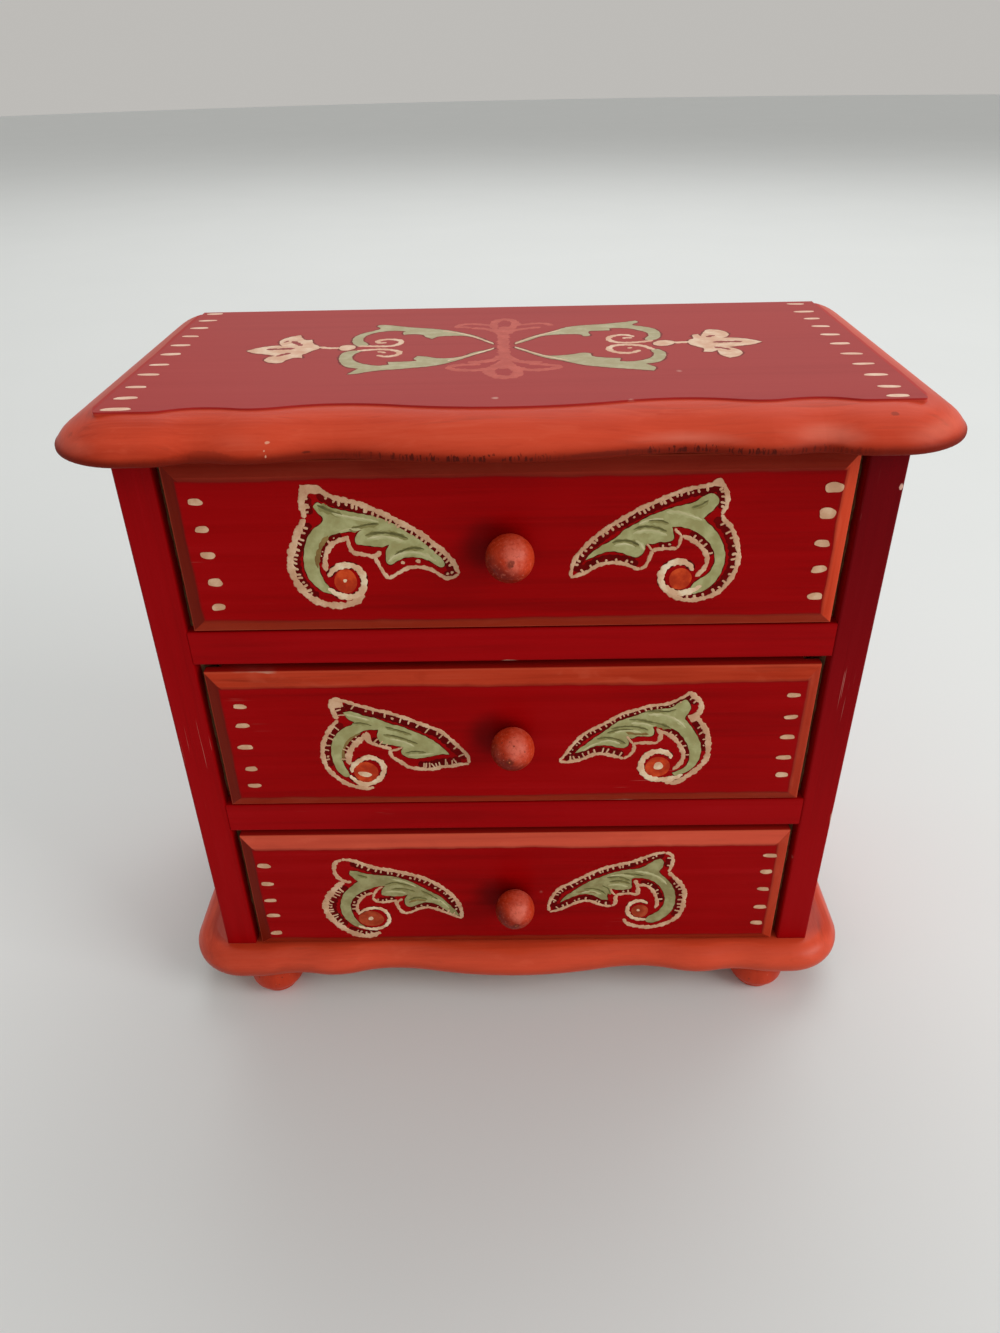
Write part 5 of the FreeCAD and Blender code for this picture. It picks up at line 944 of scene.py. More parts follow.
        "leaf": [(47.17, 39.39), (48.15, 38.15), (48.09, 36.09), (47.11, 33.64), (49.02, 31.22), (51.03, 28.62), (52.5, 25.56), (53.19, 21.96), (53.07, 18.32), (52.05, 15.18), (50.01, 12.56), (47.53, 10.62), (45.11, 10.28), (43.53, 11.53), (44.92, 13.22), (47.58, 15.3), (49.25, 17.91), (49.76, 21.02), (49.17, 24.07), (47.67, 27.15), (45.51, 29.46), (42.89, 30.75), (40.33, 31.09), (38.37, 30.57), (38.37, 28.61), (38.26, 26.53), (36.25, 25.84), (33.69, 25.83), (31.92, 26.11), (31.02, 24.85), (30.57, 23.26), (30.8, 21.29), (29.1, 21.32), (26.46, 23.11), (23.86, 23.97), (21.29, 23.7), (19.11, 22.7), (16.92, 21.44), (15.02, 20.17), (16.53, 22.74), (18.7, 24.77), (20.85, 26.78), (23.35, 28.77), (25.84, 30.5), (28.34, 31.72), (31.18, 33.17), (34.02, 34.13), (36.87, 34.83), (39.74, 35.08), (41.84, 35.99), (44.23, 37.92), (45.87, 39.11)],
        "shade": [(0.55, [(30.17, 31.39), (34.14, 31.63), (37.93, 29.97)]),
                  (0.5, [(30.97, 29.57), (34.96, 29.82), (38, 28.61)]),
                  (0.55, [(22.69, 26.24), (25.61, 26.51), (28.58, 25.34), (30.26, 23.63)]),
                  (0.5, [(28.78, 27.73), (30.73, 26.43), (31.58, 23.86)]),
                  (0.45, [(35.51, 33.16), (39.15, 32.76), (42.82, 31.81)])],
        "ochre": [(0.6, [(20.16, 24.8), (24.19, 25.25), (27.16, 24.18)])],
        "light": [(0.5, [(31.22, 32.18), (35.19, 32.52), (39.21, 31.61)]),
                  (0.5, [(39.07, 34.25), (43.45, 33.29), (47.21, 31.24), (49.97, 28.18)]),
                  (0.5, [(22, 24.77), (25.29, 25.24), (28.64, 23.91)]),
                  (0.45, [(30.67, 27.96), (34.31, 28.16), (37.28, 27.1)])],
        "dot": (41.78, 15.81, 2.81, 2.86),
        "eye": (41.2, 16.18, 0.52, 0.53, 0),
        "tick": [(0, -1, 0.05, 0.93, 24, 1.11), (1, -1, 0.1, 0.95, 9, 1.26), (8, 1, 0.1, 0.5, 8, 1.26), (7, 1, 0.3, 0.8, 2, 1.11), (6, -1, 0.1, 0.8, 5, 1.04), (4, -1, 0.2, 0.7, 2, 1.26)],
        "spot": [],
    },
}

MOTIF = [
    ("fill", "sage", 0, [(-3.94, 59.31), (-6.35, 63.34), (-9.44, 68.12), (-13.09, 71.83), (-17.31, 75.25), (-22.08, 77.7), (-25.79, 79.05), (-30.06, 80.44), (-33.87, 82.24), (-37.17, 83.79), (-40.09, 84.02), (-40.66, 82.97), (-39.36, 79.65), (-40.88, 77.02), (-43.89, 74.12), (-45.94, 70.19), (-46.25, 65.24), (-45.28, 61.3), (-43.67, 58.33), (-41.13, 59.67), (-42.97, 65), (-43.08, 69.58), (-41.25, 73.51), (-37.93, 75.96), (-34.38, 76.53), (-30.95, 75.64), (-31.84, 74.05), (-31.36, 71.55), (-28.35, 71.94), (-25.63, 70.92), (-24.43, 68.21), (-22.47, 65.88), (-20.52, 68.53), (-17.02, 69.08), (-12.98, 68.78), (-9.39, 65.92), (-6.32, 61.4), (-3.93, 57.98)]),
    ("fill", "sage", 0, [(-3.8, 54.42), (-5.7, 52.35), (-9.46, 49.53), (-12.64, 45.66), (-15.85, 43.96), (-19.6, 44.04), (-23.01, 46.01), (-25.32, 46.69), (-26.14, 43.96), (-25.13, 41.66), (-28.24, 41.18), (-33.19, 41), (-32.61, 38.44), (-35.26, 37.45), (-39.13, 39.03), (-42.02, 41.75), (-43.7, 45.65), (-43.74, 49.54), (-42.05, 53.21), (-44.78, 53.77), (-46.93, 51.91), (-47.54, 46.78), (-46.5, 41.54), (-44.14, 36.86), (-40.69, 35), (-42.93, 29.69), (-40.73, 30.03), (-37.8, 31.75), (-33.88, 33.1), (-29.88, 33.82), (-25.44, 35), (-21.86, 35.92), (-17.87, 37.97), (-14.78, 40.8), (-12.1, 43.71), (-8.93, 47.35), (-5.67, 50.71), (-3.79, 53.31)]),
    ("line", "cream", 1.6, [(-43.74, 58.9), (-40.53, 58.68), (-37.05, 58.24), (-33.66, 58.57), (-31.55, 61.28), (-31.83, 64.4), (-34.65, 66.17), (-37.34, 65.58), (-38.53, 63.71), (-37.46, 62.08), (-35.8, 62.74)]),
    ("line", "cream", 1.6, [(-43.53, 53.5), (-40.5, 54.39), (-36.68, 54.86), (-32.94, 53.68), (-30.94, 51.36), (-31.47, 48.35), (-34.41, 46.96), (-37.05, 48.55)]),
    ("line", "cream", 1.1, [(-37.37, 52.35), (-36.12, 51.9), (-34.8, 50.72)]),
    ("fill", "cream", 0, [(-49.04, 57.21), (-48.5, 59.62), (-46.62, 60.24), (-44.76, 59.16), (-44.31, 56.88), (-45.39, 54.73), (-47.22, 53.94), (-48.42, 54.94)]),
    ("line", "cream", 1.6, [(-48.65, 57.18), (-52.07, 57.23), (-55.69, 58.42), (-57.42, 57.05)]),
    ("fill", "cream", 0, [(-75.91, 55.55), (-73.8, 58.19), (-70.79, 60.24), (-67.48, 60.95), (-66.19, 59.91), (-67.68, 63.27), (-68.13, 66.81), (-66.34, 70.67), (-64.35, 72.35), (-63.1, 73.07), (-61.93, 69.35), (-60.08, 66.83), (-58.62, 67.12), (-57.29, 62.15), (-55.72, 60.13), (-54.95, 56.87), (-56.52, 54.58), (-57.94, 51.58), (-58.62, 50.55), (-58.08, 46.97), (-60.27, 47.29), (-62.07, 45.49), (-63.54, 42.15), (-66.69, 42.69), (-68.49, 45.05), (-68.05, 48.16), (-66.48, 49.83), (-69.98, 51.68), (-73.15, 52.98)]),
    ("line", "field", 1.5, [(-70.33, 56.83), (-67.18, 56.98), (-63.82, 57.3), (-62.12, 57.37)]),
    ("line", "field", 1.3, [(-65.82, 48.9), (-64.47, 50.59), (-62.45, 52.61)]),
    ("line", "field", 1.4, [(-64.34, 65.95), (-62.42, 63.09), (-60.53, 60.27)]),
    ("line", "field", 0.9, [(-66.69, 64.56), (-65.54, 66.43)]),
    ("fill", "sage", 0, [(2.27, 59.06), (5.03, 63.3), (8.61, 67.59), (12.76, 71.34), (15.42, 74.03), (18.11, 76.77), (21.83, 78.61), (25.5, 79.4), (29.7, 80.16), (33.95, 81.35), (37.18, 82.41), (40.22, 83.93), (40.95, 82.55), (38.82, 78.38), (41.65, 76.24), (44.39, 73.72), (45.71, 70.31), (45.79, 66.05), (44.55, 61.61), (41.82, 59.48), (40.71, 60.33), (42.17, 65.32), (42, 68.75), (40.07, 71.56), (37.32, 74.05), (33.34, 74.98), (31.27, 74.72), (31.24, 72.22), (27.99, 72.05), (25.07, 71.65), (24.34, 65.84), (23.09, 65.73), (22.14, 67.8), (17.67, 68.53), (14.14, 68.19), (10.59, 66.85), (6.49, 62.22), (2.41, 57.72)]),
    ("fill", "sage", 0, [(2.24, 55.3), (5.31, 51.58), (8.53, 47.4), (11.72, 44.72), (15.46, 44.81), (18.8, 45.82), (21.22, 47.07), (23.29, 46.39), (23.85, 43.37), (27.32, 41.59), (31.4, 40.8), (30.94, 37.61), (33.77, 37.25), (37.09, 38.38), (39.79, 40.92), (41.18, 44.82), (41.12, 49.1), (42.95, 49.7), (44.38, 46.37), (43.67, 40.66), (41.42, 36.58), (37.66, 34.84), (39.86, 30.95), (38.95, 28.14), (35.98, 29.12), (31.69, 30.51), (28.22, 31.54), (24.75, 32.9), (21.27, 34.43), (17.81, 37.14), (14.75, 39.86), (11.61, 41.95), (8.47, 45.29), (5.27, 49.77), (2.32, 53.99)]),
    ("line", "cream", 1.6, [(42.79, 59.41), (38.96, 57.96), (34.53, 57.33), (31.27, 58.71), (29.92, 62.08), (31.5, 65.31), (35, 66.45), (37.81, 64.06)]),
    ("line", "cream", 1.1, [(34.08, 62.37), (35.63, 63.04), (37.05, 62.54)]),
    ("line", "cream", 1.7, [(41.68, 49.06), (38.93, 53.64), (35.25, 55.02), (31.35, 54.55), (29.36, 52.29), (29.49, 49), (31.53, 46.72), (34.77, 46.32), (37.8, 48.97)]),
    ("line", "cream", 1.1, [(34.36, 51.2), (35.85, 51.83)]),
    ("fill", "cream", 0, [(42.23, 55.09), (43.6, 58.2), (45.68, 59.2), (47.8, 58.67), (48.77, 57.07), (47.7, 54.7), (45.57, 53.18), (43.2, 53.34)]),
    ("line", "cream", 1.7, [(47.97, 56.56), (50.9, 56.73), (54.33, 57.05)]),
    ("fill", "cream", 0, [(73.71, 55.66), (71.45, 58.11), (68.47, 60.06), (64.74, 60.91), (63.22, 60.64), (65.21, 62.84), (65.89, 66.37), (63.99, 69.96), (60.63, 70.83), (59.05, 68.09), (57.28, 63.02), (56.84, 65.64), (55.21, 64.76), (54.65, 60.48), (53.2, 59.04), (52.68, 54.35), (54.76, 51.06), (55.82, 49.52), (55.21, 45.98), (57.61, 45.81), (59.32, 47.48), (59.49, 42.18), (61.23, 39.31), (64.09, 41), (65.76, 44.2), (65.4, 47.42), (63.18, 50.47), (66.74, 51.68), (70.33, 52.91)]),
    ("line", "field", 1.4, [(59.47, 56.12), (62.87, 56.25), (68.17, 56.25)]),
    ("line", "field", 1.2, [(58.96, 61.92), (60.26, 63.2), (61.58, 63.7)]),
    ("line", "field", 1.2, [(58.98, 50.76), (61.11, 49.52), (63.09, 47.58)]),
    ("line", "coral", 2.6, [(-0.91, 79.5), (-1.06, 68.91), (-1.05, 57.21), (-0.76, 46.27), (-0.49, 37.01), (-1.17, 32.14)]),
    ("line", "coral", 2, [(-3.68, 76.52), (-4.19, 81.69), (-3.13, 86.89), (-1.23, 88.76), (1, 87.91), (2.71, 83.77), (1.89, 79.29), (0.63, 75.57), (-0.45, 70.08)]),
    ("line", "coral", 2, [(-3.68, 76.52), (-2.74, 73.7), (-1.66, 70.17)]),
    ("line", "coral", 2.3, [(-0.76, 40.04), (-3.35, 34.23), (-4.92, 29.98), (-3.55, 26.13), (-1.16, 24.41), (1.47, 24.89), (2.82, 28.07), (1.68, 33.9), (-0.35, 39)]),
    ("line", "coral", 1.6, [(-1.66, 68.95), (-3.66, 73.76), (-6.46, 76.73), (-8.96, 77.68), (-11.14, 78.1)]),
    ("line", "coral", 1.5, [(-4.66, 81.08), (-7.81, 82.49), (-10.98, 83.52), (-13.79, 82.95), (-16.15, 79.25)]),
    ("line", "coral", 1.2, [(-15.99, 79.24), (-13.05, 79.53), (-11.14, 78.1)]),
    ("line", "coral", 1.6, [(0, 70.04), (2.47, 74.55), (5.25, 76.1), (8.37, 77.38), (10.54, 77.73)]),
    ("line", "coral", 1.5, [(2.69, 81.16), (5.66, 81.71), (8.82, 82.78), (11.64, 82.56), (14.17, 79.5)]),
    ("line", "coral", 2, [(-1.19, 46.29), (-3.41, 41.75), (-5.89, 40.18), (-8.36, 39.53), (-10.98, 39.3)]),
    ("line", "coral", 1.8, [(-2.53, 34.66), (-5.5, 32.61), (-8.18, 31.62), (-11.14, 31.62), (-14.42, 32.5), (-16.57, 35.08)]),
    ("line", "coral", 1.6, [(-16.45, 35.27), (-13.23, 36.84), (-9.68, 37.11), (-7.22, 37.44)]),
    ("line", "coral", 2, [(-0.2, 46.23), (1.87, 40.89), (4.33, 38.9), (7.07, 38.31), (9.82, 38.33)]),
    ("line", "coral", 1.8, [(0.46, 35.45), (3.15, 32.64), (5.81, 30.92), (8.76, 30.73), (12.02, 31.78), (14.95, 33.82)]),
    ("line", "coral", 1.5, [(5.94, 36.58), (8.66, 36.21), (11.89, 35.2), (14.84, 34.22)]),
    # light edging where the scrolls run together
    ("line", "cream", 0.8, [(-3.9, 58.7), (-7.9, 64.6), (-12.9, 70.7), (-19.6, 75.3)]),
    ("line", "cream", 0.8, [(-3.8, 53.9), (-7.3, 49.8), (-12.6, 44.9), (-16.6, 41.2)]),
    ("line", "cream", 0.8, [(2.3, 58.5), (6.8, 64.6), (11.7, 69.6), (16.4, 74.0)]),
    ("line", "cream", 0.8, [(2.3, 54.7), (6.8, 49.0), (11.7, 43.6), (17.2, 39.2)]),
]

# rows of dashes: (x, y) on the top board, (x, z) on the drawer fronts
TOP_DASHES = {
    "left": [(-97.4, 104.0), (-97.4, 94.6), (-97.4, 84.7), (-97.4, 74.3), (-97.4, 63.6), (-97.4, 53.6), (-97.4, 42.5),
             (-97.4, 32.8), (-97.1, 21.3), (-96.7, 11.8), (-96.2, 2.7)],
    "right": [(95.2, 102.8), (95.2, 91.8), (95.2, 82.3), (95.2, 72.5), (95.2, 62.4), (95.2, 52.1), (95.2, 41.2),
              (95.2, 31.0), (95.2, 20.8), (95.2, 10.4), (94.9, 2.9)],
}
DRAWER_DASHES = {
    "top": [(-79.8, 164.6), (-79.4, 157.0), (-79.2, 149.6), (-78.7, 141.6), (-79.1, 134.1),
            (81.8, 165.8), (81.2, 158.8), (81.2, 150.4), (81.5, 142.9), (81.7, 134.8)],
    "middle": [(-78.8, 101.2), (-79.1, 94.4), (-79.5, 86.5), (-79.0, 78.3), (-79.0, 71.8),
               (80.7, 102.7), (81.0, 95.0), (81.0, 87.8), (81.0, 80.2), (81.2, 73.6)],
    "bottom": [(-81.3, 38.2), (-81.4, 30.1), (-81.4, 22.5), (-81.5, 15.4), (-81.6, 7.0),
               (82.2, 40.4), (81.8, 33.3), (81.8, 25.5), (81.8, 17.2), (81.5, 9.7)],
}
rnd = random.Random(11)


def directions(pts, closed):
    """Unit direction at each point, None at a sharp corner."""
    n = len(pts)
    out = []
    for i in range(n):
        if not closed and i in (0, n - 1):
            a = Vector(pts[1]) - Vector(pts[0]) if i == 0 else Vector(pts[-1]) - Vector(pts[-2])
            out.append(a.normalized())
            continue
        a = (Vector(pts[i]) - Vector(pts[i - 1])).normalized()
        b = (Vector(pts[(i + 1) % n]) - Vector(pts[i])).normalized()
        out.append(None if a.dot(b) < 0.15 else (a + b).normalized())
    return out


def smooth_line(pts, step=0.3, closed=False):
    """A smooth curve through the points, kept sharp at the corners."""
    pts = [tuple(p) for i, p in enumerate(pts) if i == 0 or p != pts[i - 1]]
    n = len(pts)
    d = directions(pts, closed)
    out = []
    for i in range(n if closed else n - 1):
        p, q = Vector(pts[i]), Vector(pts[(i + 1) % n])
        length = (q - p).length
        chord = (q - p).normalized()
        u = (d[i] or chord) * length
        v = (d[(i + 1) % n] or chord) * length
        k = max(2, int(length / step + 0.5))
        for j in range(k):
            t = j / k
            h1, h2 = 2 * t ** 3 - 3 * t * t + 1, -2 * t ** 3 + 3 * t * t
            h3, h4 = t ** 3 - 2 * t * t + t, t ** 3 - t * t
            out.append(p * h1 + q * h2 + u * h3 + v * h4)
    if not closed:
        out.append(Vector(pts[-1]))
    return out


class Paint:
    """Collects strokes and filled shapes of one colour on one plane into one mesh."""

    def __init__(self, name, plane, level, body, slot, mat):
        self.name, self.plane, self.level = name, plane, level
        self.body, self.slot, self.mat = body, slot, mat
        self.v, self.f = [], []

    def point(self, p, h):
        return W(p[0], -1.6 - h, p[1]) if self.plane == "front" else W(p[0], p[1], 187.4 + h)

    def stroke(self, pts, width, rough=0.16, taper=0.35, smooth=True):
        if smooth:
            line = smooth_line(pts, 0.28)
        else:
            p, q = Vector(pts[0]), Vector(pts[1])
            k = max(5, int((q - p).length / 0.1))
            line = [p.lerp(q, i / k) for i in range(k + 1)]
        total = [0.0]
        for a, b in zip(line, line[1:]):
            total.append(total[-1] + (b - a).length)
        whole = total[-1] or 1.0
        # slow and quick changes of the brush's width
        k = [rnd.uniform(0, math.tau) for _ in range(4)]
        first = len(self.v)
        flip = 1.0 if self.plane == "front" else -1.0
        for i, p in enumerate(line):
            a, b = line[max(i - 1, 0)], line[min(i + 1, len(line) - 1)]
            t = (b - a)
            t = t.normalized() if t.length > 1e-9 else Vector((1.0, 0.0))
            nrm = Vector((-t.y, t.x)) * flip
            s = total[i]
            w = width / 2 * (1 + rough * (0.5 * math.sin(s * 1.1 + k[0]) + 0.35 * math.sin(s * 2.7 + k[1])
                                          + 0.25 * math.sin(s * 6.1 + k[2])))
            end = min(s, whole - s)
            r = width * 0.5
            if end < r:
                w *= math.sqrt(max(0.02, 1 - (1 - end / r) ** 2))
            if taper < 1.0:
                w *= min(1.0, taper + (1 - taper) * min(1.0, end / (0.18 * whole + 1e-9) + 0.25))
            off = 0.05 * width * math.sin(s * 3.3 + k[3])
            for o, h in ((-1, 0.0), (-0.72, 0.8), (0, 1.0), (0.72, 0.8), (1, 0.0)):
                hh = -0.004 if h == 0 else self.level * h
                q = p + nrm * (w * o + off)
                self.v.append(self.point(q, hh))
        for i in range(len(line) - 1):
            for j in range(4):
                a = first + i * 5 + j
                self.f.append((a, a + 5, a + 6, a + 1))

    def shape(self, pts, jitter=0.06, step=0.3):
        line = smooth_line(pts, step, True)
        k = [rnd.uniform(0, math.tau) for _ in range(2)]
        ring = []
        for i, p in enumerate(line):
            s = i * step
            ring.append(p + Vector((jitter * math.sin(s * 2.1 + k[0]), jitter * math.sin(s * 2.7 + k[1]))))
        self.polygon(ring)

    def polygon(self, ring):
        area = sum(a.x * b.y - b.x * a.y for a, b in zip(ring, ring[1:] + ring[:1]))
        if (area < 0) == (self.plane == "top"):
            ring = ring[::-1]
        bm = bmesh.new()
        top = [bm.verts.new(self.point(p, self.level)) for p in ring]
        edges = [bm.edges.new((top[i], top[(i + 1) % len(top)])) for i in range(len(top))]
        bmesh.ops.triangle_fill(bm, use_beauty=True, edges=edges)
        bm.verts.index_update()
        want = Vector((0, -1, 0)) if self.plane == "front" else Vector((0, 0, 1))
        first = len(self.v)
        self.v.extend(v.co.copy() for v in top)
        for f in bm.faces:
            idx = [first + v.index for v in f.verts]
            if f.normal.dot(want) < 0:
                idx.reverse()
            self.f.append(tuple(idx))
        bm.free()
        n = len(ring)
        low = len(self.v)
        self.v.extend(self.point(p, -0.004) for p in ring)
        for i in range(n):
            j = (i + 1) % n
            self.f.append((first + i, low + i, low + j, first + j))

    def oval(self, x, z, rx, rz, turn=0.0, lump=0.06, blunt=1.0):
        a0 = [rnd.uniform(0, math.tau) for _ in range(3)]
        c, s = math.cos(math.radians(turn)), math.sin(math.radians(turn))
        ring = []
        for i in range(40):
            a = i * math.tau / 40
            k = 1 + lump * (math.sin(2 * a + a0[0]) + 0.7 * math.sin(3 * a + a0[1]) + 0.4 * math.sin(5 * a + a0[2]))
            ca, sa = math.cos(a), math.sin(a)
            u, v = rx * k * math.copysign(abs(ca) ** blunt, ca), rz * k * math.copysign(abs(sa) ** blunt, sa)
            ring.append(Vector((x + u * c - v * s, z + u * s + v * c)))
        self.polygon(ring)

    def build(self):
        me = bpy.data.meshes.new(self.name)
        me.from_pydata([tuple(v) for v in self.v], [], self.f)
        me.validate()
        me.update()
        for p in me.polygons:
            p.use_smooth = False
        ob = bpy.data.objects.new(self.name, me)
        bpy.context.scene.collection.objects.link(ob)
        set_material(ob, self.mat)
        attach(ob, self.body)
        return ob


def folk_paint(name, base, dark, light, seed, gloss=0.42, thin=0.0, under=RED, spec=0.18):
    """Opaque craft paint: thick and thin places, brush lines, a few rubbed spots."""
    g = Mat("ornament_" + name)
    broad = g.noise(240.0, 3, 0.6, seed)
    fine = g.noise(1400.0, 3, 0.65, seed + 1)
    c = g.mix(g.step(broad, 0.35, 0.65), dark, base)
    c = g.mix(g.mul(g.step(broad, 0.50, 0.78), 0.7), c, light)
    c = g.mix(g.mul(g.step(fine, 0.55, 0.75), 0.25), c, dark)
    if thin:
        worn = g.step(g.noise(620.0, 3, 0.7, seed + 2), 0.60, 0.74)
        c = g.mix(g.mul(worn, thin), c, under)
    nrm = g.bump(g.add(fine, broad), 0.00006, 0.7)
    return g.finish(c, g.mad(fine, 0.2, gloss), nrm, spec=spec)


PAINTS = {
    "cream": folk_paint("cream", CREAM, CREAM_DARK, (0.80, 0.58, 0.39, 1.0), 201.0, thin=0.22, spec=0.12),
    "bright": folk_paint("bright", (0.88, 0.68, 0.45, 1.0), CREAM, (0.93, 0.80, 0.60, 1.0), 203.0, thin=0.06, spec=0.12),
    "sage": folk_paint("sage", SAGE, (0.35, 0.325, 0.135, 1.0), (0.52, 0.50, 0.25, 1.0), 205.0, thin=0.10, spec=0.12),
    "sage_low": folk_paint("sage_low", (0.385, 0.362, 0.165, 1.0), (0.29, 0.258, 0.108, 1.0), (0.45, 0.43, 0.21, 1.0), 206.0,
                           thin=0.14, spec=0.12),
    "shade": folk_paint("shade", (0.155, 0.145, 0.050, 1.0), (0.11, 0.10, 0.034, 1.0), (0.21, 0.19, 0.075, 1.0), 207.0, spec=0.10),
    "ochre": folk_paint("ochre", (0.29, 0.180, 0.055, 1.0), (0.22, 0.13, 0.042, 1.0), (0.34, 0.24, 0.085, 1.0), 209.0, spec=0.10),
    "fold": folk_paint("fold", (0.310, 0.290, 0.115, 1.0), (0.250, 0.225, 0.080, 1.0), SAGE, 216.0, spec=0.10),
    "glow": folk_paint("glow", (0.51, 0.49, 0.25, 1.0), SAGE, (0.58, 0.55, 0.31, 1.0), 218.0, spec=0.10),
    "light": folk_paint("light", (0.62, 0.58, 0.33, 1.0), (0.52, 0.48, 0.25, 1.0), (0.72, 0.66, 0.42, 1.0), 211.0, spec=0.10),
    "gap_shade": folk_paint("gap_shade", (0.155, 0.0012, 0.0016, 1.0), (0.11, 0.0010, 0.0012, 1.0), (0.19, 0.0016, 0.0020, 1.0), 213.0, spec=0.04),
    "line": folk_paint("line", (0.115, 0.0030, 0.0020, 1.0), (0.08, 0.0025, 0.0016, 1.0), (0.16, 0.0050, 0.0030, 1.0), 214.0, spec=0.04),
    "dot": folk_paint("dot", DOT, (0.44, 0.030, 0.006, 1.0), (0.74, 0.105, 0.022, 1.0), 215.0, spec=0.12),
    "dot_low": folk_paint("dot_low", (0.46, 0.058, 0.018, 1.0), (0.32, 0.032, 0.008, 1.0), (0.56, 0.100, 0.034, 1.0), 229.0, spec=0.12),
    "coral": folk_paint("coral", (0.56, 0.098, 0.070, 1.0), (0.50, 0.078, 0.058, 1.0), (0.62, 0.120, 0.090, 1.0), 217.0),
    "dash": folk_paint("dash", (0.88, 0.62, 0.475, 1.0), (0.80, 0.50, 0.37, 1.0), (0.92, 0.72, 0.57, 1.0), 225.0, thin=0.06),
    "top_cream": folk_paint("top_cream", (0.81, 0.56, 0.40, 1.0), (0.72, 0.42, 0.28, 1.0), (0.88, 0.70, 0.53, 1.0), 219.0,
                            thin=0.12),
    "top_sage": folk_paint("top_sage", (0.48, 0.435, 0.262, 1.0), (0.42, 0.365, 0.205, 1.0), (0.56, 0.52, 0.335, 1.0), 221.0,
                           thin=0.08),
    "rim": folk_paint("rim", (0.245, 0.026, 0.022, 1.0), (0.20, 0.022, 0.018, 1.0), (0.30, 0.032, 0.028, 1.0), 227.0, spec=0.11),
    # the slits' red is pinker like the top's field: painted sheen
    "field": folk_paint("field", (0.33, 0.036, 0.033, 1.0), (0.28, 0.030, 0.027, 1.0), (0.37, 0.044, 0.040, 1.0), 223.0),
}

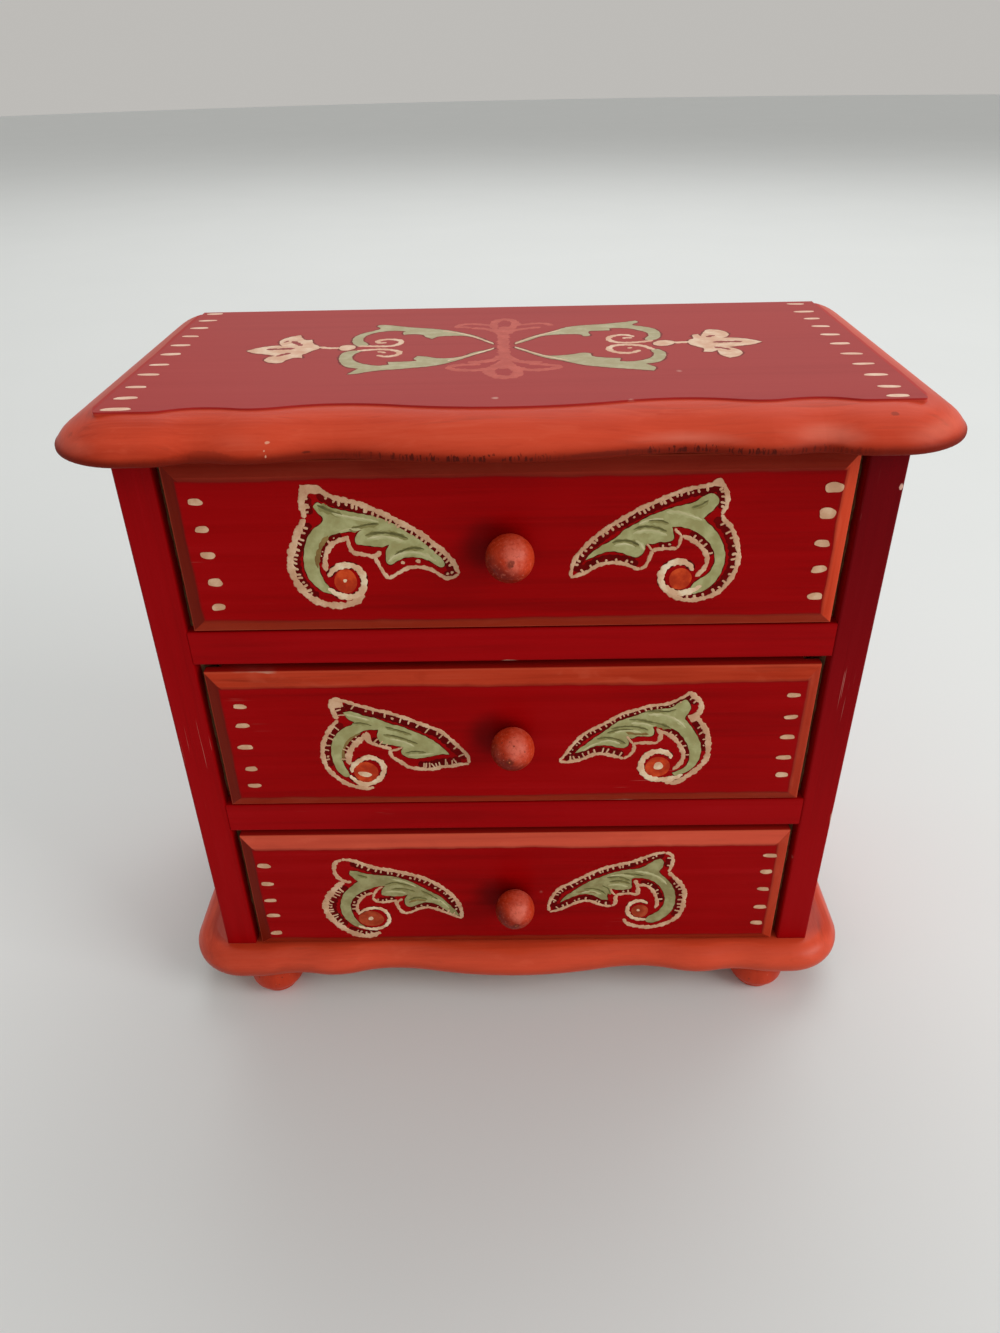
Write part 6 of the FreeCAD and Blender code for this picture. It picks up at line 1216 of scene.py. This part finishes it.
for d in ("top", "middle", "bottom"):
    body, slot_name = d + "_drawer", "painted_two_tone"

    def layer(kind, level, mat=None):
        return Paint("%s_drawer_ornament_%s" % (d, kind), "front", level, body, slot_name, PAINTS[mat or kind])
    gap_shade, rim, cream, bright = layer("gap_shade", 0.012), layer("rim", 0.024, "line"), layer("cream", 0.13), layer("bright", 0.15)
    sage, shade = layer("sage", 0.05, "sage_low" if d == "bottom" else "sage"), layer("shade", 0.085)
    ochre, light = layer("ochre", 0.08), layer("light", 0.095)
    fold, glow = layer("fold", 0.066), layer("glow", 0.074)
    dot, eye = layer("dot", 0.045, "dot_low" if d == "bottom" else "dot"), layer("eye", 0.08, "bright")
    for side in ("left", "right"):
        s = SCROLLS["%s_%s" % (d, side)]
        loop = s["leaf"] + s["leaf"][:1]
        # painted shade: a dark outline round the leaf, and under each curl
        rim.stroke(loop, 0.50, 0.5, 1.0)
        for w, pts in s["line"]:
            cream.stroke(pts, w * 1.26, 0.3, 0.75)
        for w, pts in s["curl"]:
            rim.stroke(pts, w * (1.40 if d == "top" else 1.20) + 0.30, 0.2, 1.0)
            bright.stroke(pts, w * (1.42 if d == "top" else 1.22), 0.2, 0.5)
        for pts in s["blob"]:
            cream.shape(pts)
        sage.shape(s["leaf"])
        for kind, target in (("shade", shade), ("ochre", ochre), ("light", light)):
            for w, pts in s[kind]:
                if kind == "shade":
                    # a broad half-dry stroke first, the fold's dark line over it
                    fold.stroke([(x, z - 0.25) for x, z in pts], w * 3.4, 0.3, 0.10)
                elif kind == "light":
                    glow.stroke([(x, z - 0.15) for x, z in pts], w * 2.6, 0.3, 0.10)
                target.stroke(pts, w * (1.0 if kind == "light" else 1.25), 0.35, 0.12)
        x, z, rx, rz = s["dot"]
        dot.oval(x, z, rx, rz, 0.0, 0.02)
        if s["eye"]:
            x, z, rx, rz, turn = s["eye"]
            eye.oval(x, z, max(rx, 0.3), max(rz, 0.25), turn, 0.08)
        for which, hand, t0, t1, number, length in s["tick"]:
            w, pts = s["line"][which]
            line = smooth_line(pts, 0.2)
            # painted shade: the ground between the line and the leaf is darker red
            j0, j1 = (max(0, min(len(line) - 1, int(v * (len(line) - 1)))) for v in (t0 - 0.04, t1 + 0.04))
            band = []
            for j in range(j0, j1 + 1, 4):
                a, b = line[max(j - 1, 0)], line[min(j + 1, len(line) - 1)]
                tan = (b - a).normalized()
                q = line[j] + Vector((tan.y, -tan.x)) * hand * (w * 0.5 + length * 0.72)
                if not band or (q - band[-1]).length > 0.5:
                    band.append(q)
            if len(band) > 2:
                gap_shade.stroke([tuple(q) for q in band], length * 1.75 + 0.5, 0.12, 1.0)
            thick = {"top": (0.56, 0.84), "middle": (0.42, 0.60), "bottom": (0.48, 0.70)}[d]
            far = {"top": (0.72, 1.15), "middle": (0.85, 1.35), "bottom": (0.80, 1.20)}[d]
            for i in range(number):
                t = t0 + (t1 - t0) * (i + 0.5 + rnd.uniform(-0.28, 0.28)) / number
                j = min(len(line) - 2, max(1, int(t * (len(line) - 1))))
                tan = (line[j + 1] - line[j - 1]).normalized()
                nrm = Vector((tan.y, -tan.x)) * hand
                lean = tan * rnd.uniform(-0.35, 0.35)
                ln = length * rnd.uniform(0.75, 1.15)
                if rnd.random() < 0.12:
                    q = line[j] + nrm * (w * 0.63 + ln * 0.62)
                    cream.oval(q.x, q.y, ln * 0.30, ln * 0.27, 0.0, 0.12)
                else:
                    cream.stroke([line[j] + nrm * (w * 0.40), line[j] + nrm * (w * 0.62) + (nrm + lean) * (ln * rnd.uniform(*far))],
                                 rnd.uniform(*thick), 0.1, 0.9, False)
        for x, z, r in s["spot"]:
            cream.oval(x, z, r, r, 0.0, 0.1)
    for i, (x, z) in enumerate(DRAWER_DASHES[d]):
        wide = {"top": 1.95, "middle": 2.0, "bottom": 2.05}[d] * rnd.uniform(0.88, 1.10)
        high = {"top": 1.0, "middle": 0.74, "bottom": 0.80}[d] * rnd.uniform(0.88, 1.15)
        if d == "top" and i in (5, 6):
            wide, high = 2.2, 1.45
        cream.oval(x, z, wide, high, rnd.uniform(-4, 4), 0.07, 0.78)
    for p in (gap_shade, rim, cream, bright, sage, fold, glow, shade, ochre, light, dot, eye):
        if p.f:
            p.build()

top_layers = {"sage": Paint("top_ornament_sage", "top", 0.030, "carcass", "painted_two_tone", PAINTS["top_sage"]),
              "cream": Paint("top_ornament_cream", "top", 0.045, "carcass", "painted_two_tone", PAINTS["top_cream"]),
              "dash": Paint("top_ornament_dashes", "top", 0.045, "carcass", "painted_two_tone", PAINTS["dash"]),
              "coral": Paint("top_ornament_coral", "top", 0.020, "carcass", "painted_two_tone", PAINTS["coral"]),
              "rim": Paint("top_ornament_rim", "top", 0.012, "carcass", "painted_two_tone", PAINTS["rim"]),
              "field": Paint("top_ornament_slits", "top", 0.078, "carcass", "painted_two_tone", PAINTS["field"])}
for kind, colour, width, pts in MOTIF:
    if kind == "fill":
        top_layers[colour].shape(pts, 0.05)
        # painted shade: a dark outline round the cream and sage shapes
        if colour in ("cream", "sage"):
            top_layers["rim"].stroke(list(pts) + [pts[0]], 1.25, 0.45, 1.0)
    elif colour == "coral":
        top_layers[colour].stroke(pts, width * 1.4, 0.22, 0.8)
    elif colour == "field":
        top_layers[colour].stroke(pts, width * 1.55, 0.3, 0.45)
    else:
        top_layers[colour].stroke(pts, width * 1.12, 0.18, 0.7)
for side, spots in TOP_DASHES.items():
    for i, (x, y) in enumerate(spots):
        big = (side, i) == ("left", 10)
        wide = 2.85 * rnd.uniform(0.88, 1.1) * (1.24 if big else 1.0)
        high = 1.02 * rnd.uniform(0.88, 1.15) * (1.25 if big else 1.0)
        top_layers["dash"].oval(x, y, wide, high, rnd.uniform(-5, 5), 0.05, 0.82)
for p in top_layers.values():
    p.build()

# ---------------------------------------------------------------------------
# Floor and soft studio light
# ---------------------------------------------------------------------------
mesh = bpy.data.meshes.new("floor")
bm = bmesh.new()
R = 7.0
ring = [bm.verts.new((R * math.cos(a * math.tau / 96), R * math.sin(a * math.tau / 96), 0.0)) for a in range(96)]
bm.faces.new(ring)
bm.to_mesh(mesh)
bm.free()
floor = bpy.data.objects.new("floor", mesh)
bpy.context.scene.collection.objects.link(floor)
g = Mat("floor_paint")
n1 = g.noise(6.0, 2, 0.5, 1.0)
fcol = g.mix(n1, (0.772, 0.805, 0.813, 1.0), (0.800, 0.833, 0.841, 1.0))
set_material(floor, g.finish(fcol, 0.55, None, spec=0.2))

world = bpy.data.worlds.new("studio")
bpy.context.scene.world = world
world.use_nodes = True
bg = world.node_tree.nodes.get("Background") or world.node_tree.nodes.new("ShaderNodeBackground")
bg.inputs["Color"].default_value = (0.80, 0.78, 0.745, 1.0)
bg.inputs["Strength"].default_value = 0.64


def area(name, loc, target, sx, sy, watts, color=(1.0, 1.0, 1.0)):
    d = bpy.data.lights.new(name, "AREA")
    d.shape = "RECTANGLE"
    d.size, d.size_y = sx, sy
    d.energy = watts
    d.color = color
    o = bpy.data.objects.new(name, d)
    bpy.context.scene.collection.objects.link(o)
    o.location = loc
    o.rotation_mode = "QUATERNION"
    o.rotation_quaternion = (Vector(target) - Vector(loc)).to_track_quat("-Z", "Y")
    return o


area("key", (1.2, -0.62, 0.75), (0.0, 0.0, 0.10), 0.75, 0.75, 8.6, (1.0, 0.985, 0.96))
area("sky", (0.35, 1.5, 1.85), (0.0, 0.25, 0.10), 2.6, 1.7, 23.0, (1.0, 0.99, 0.97))
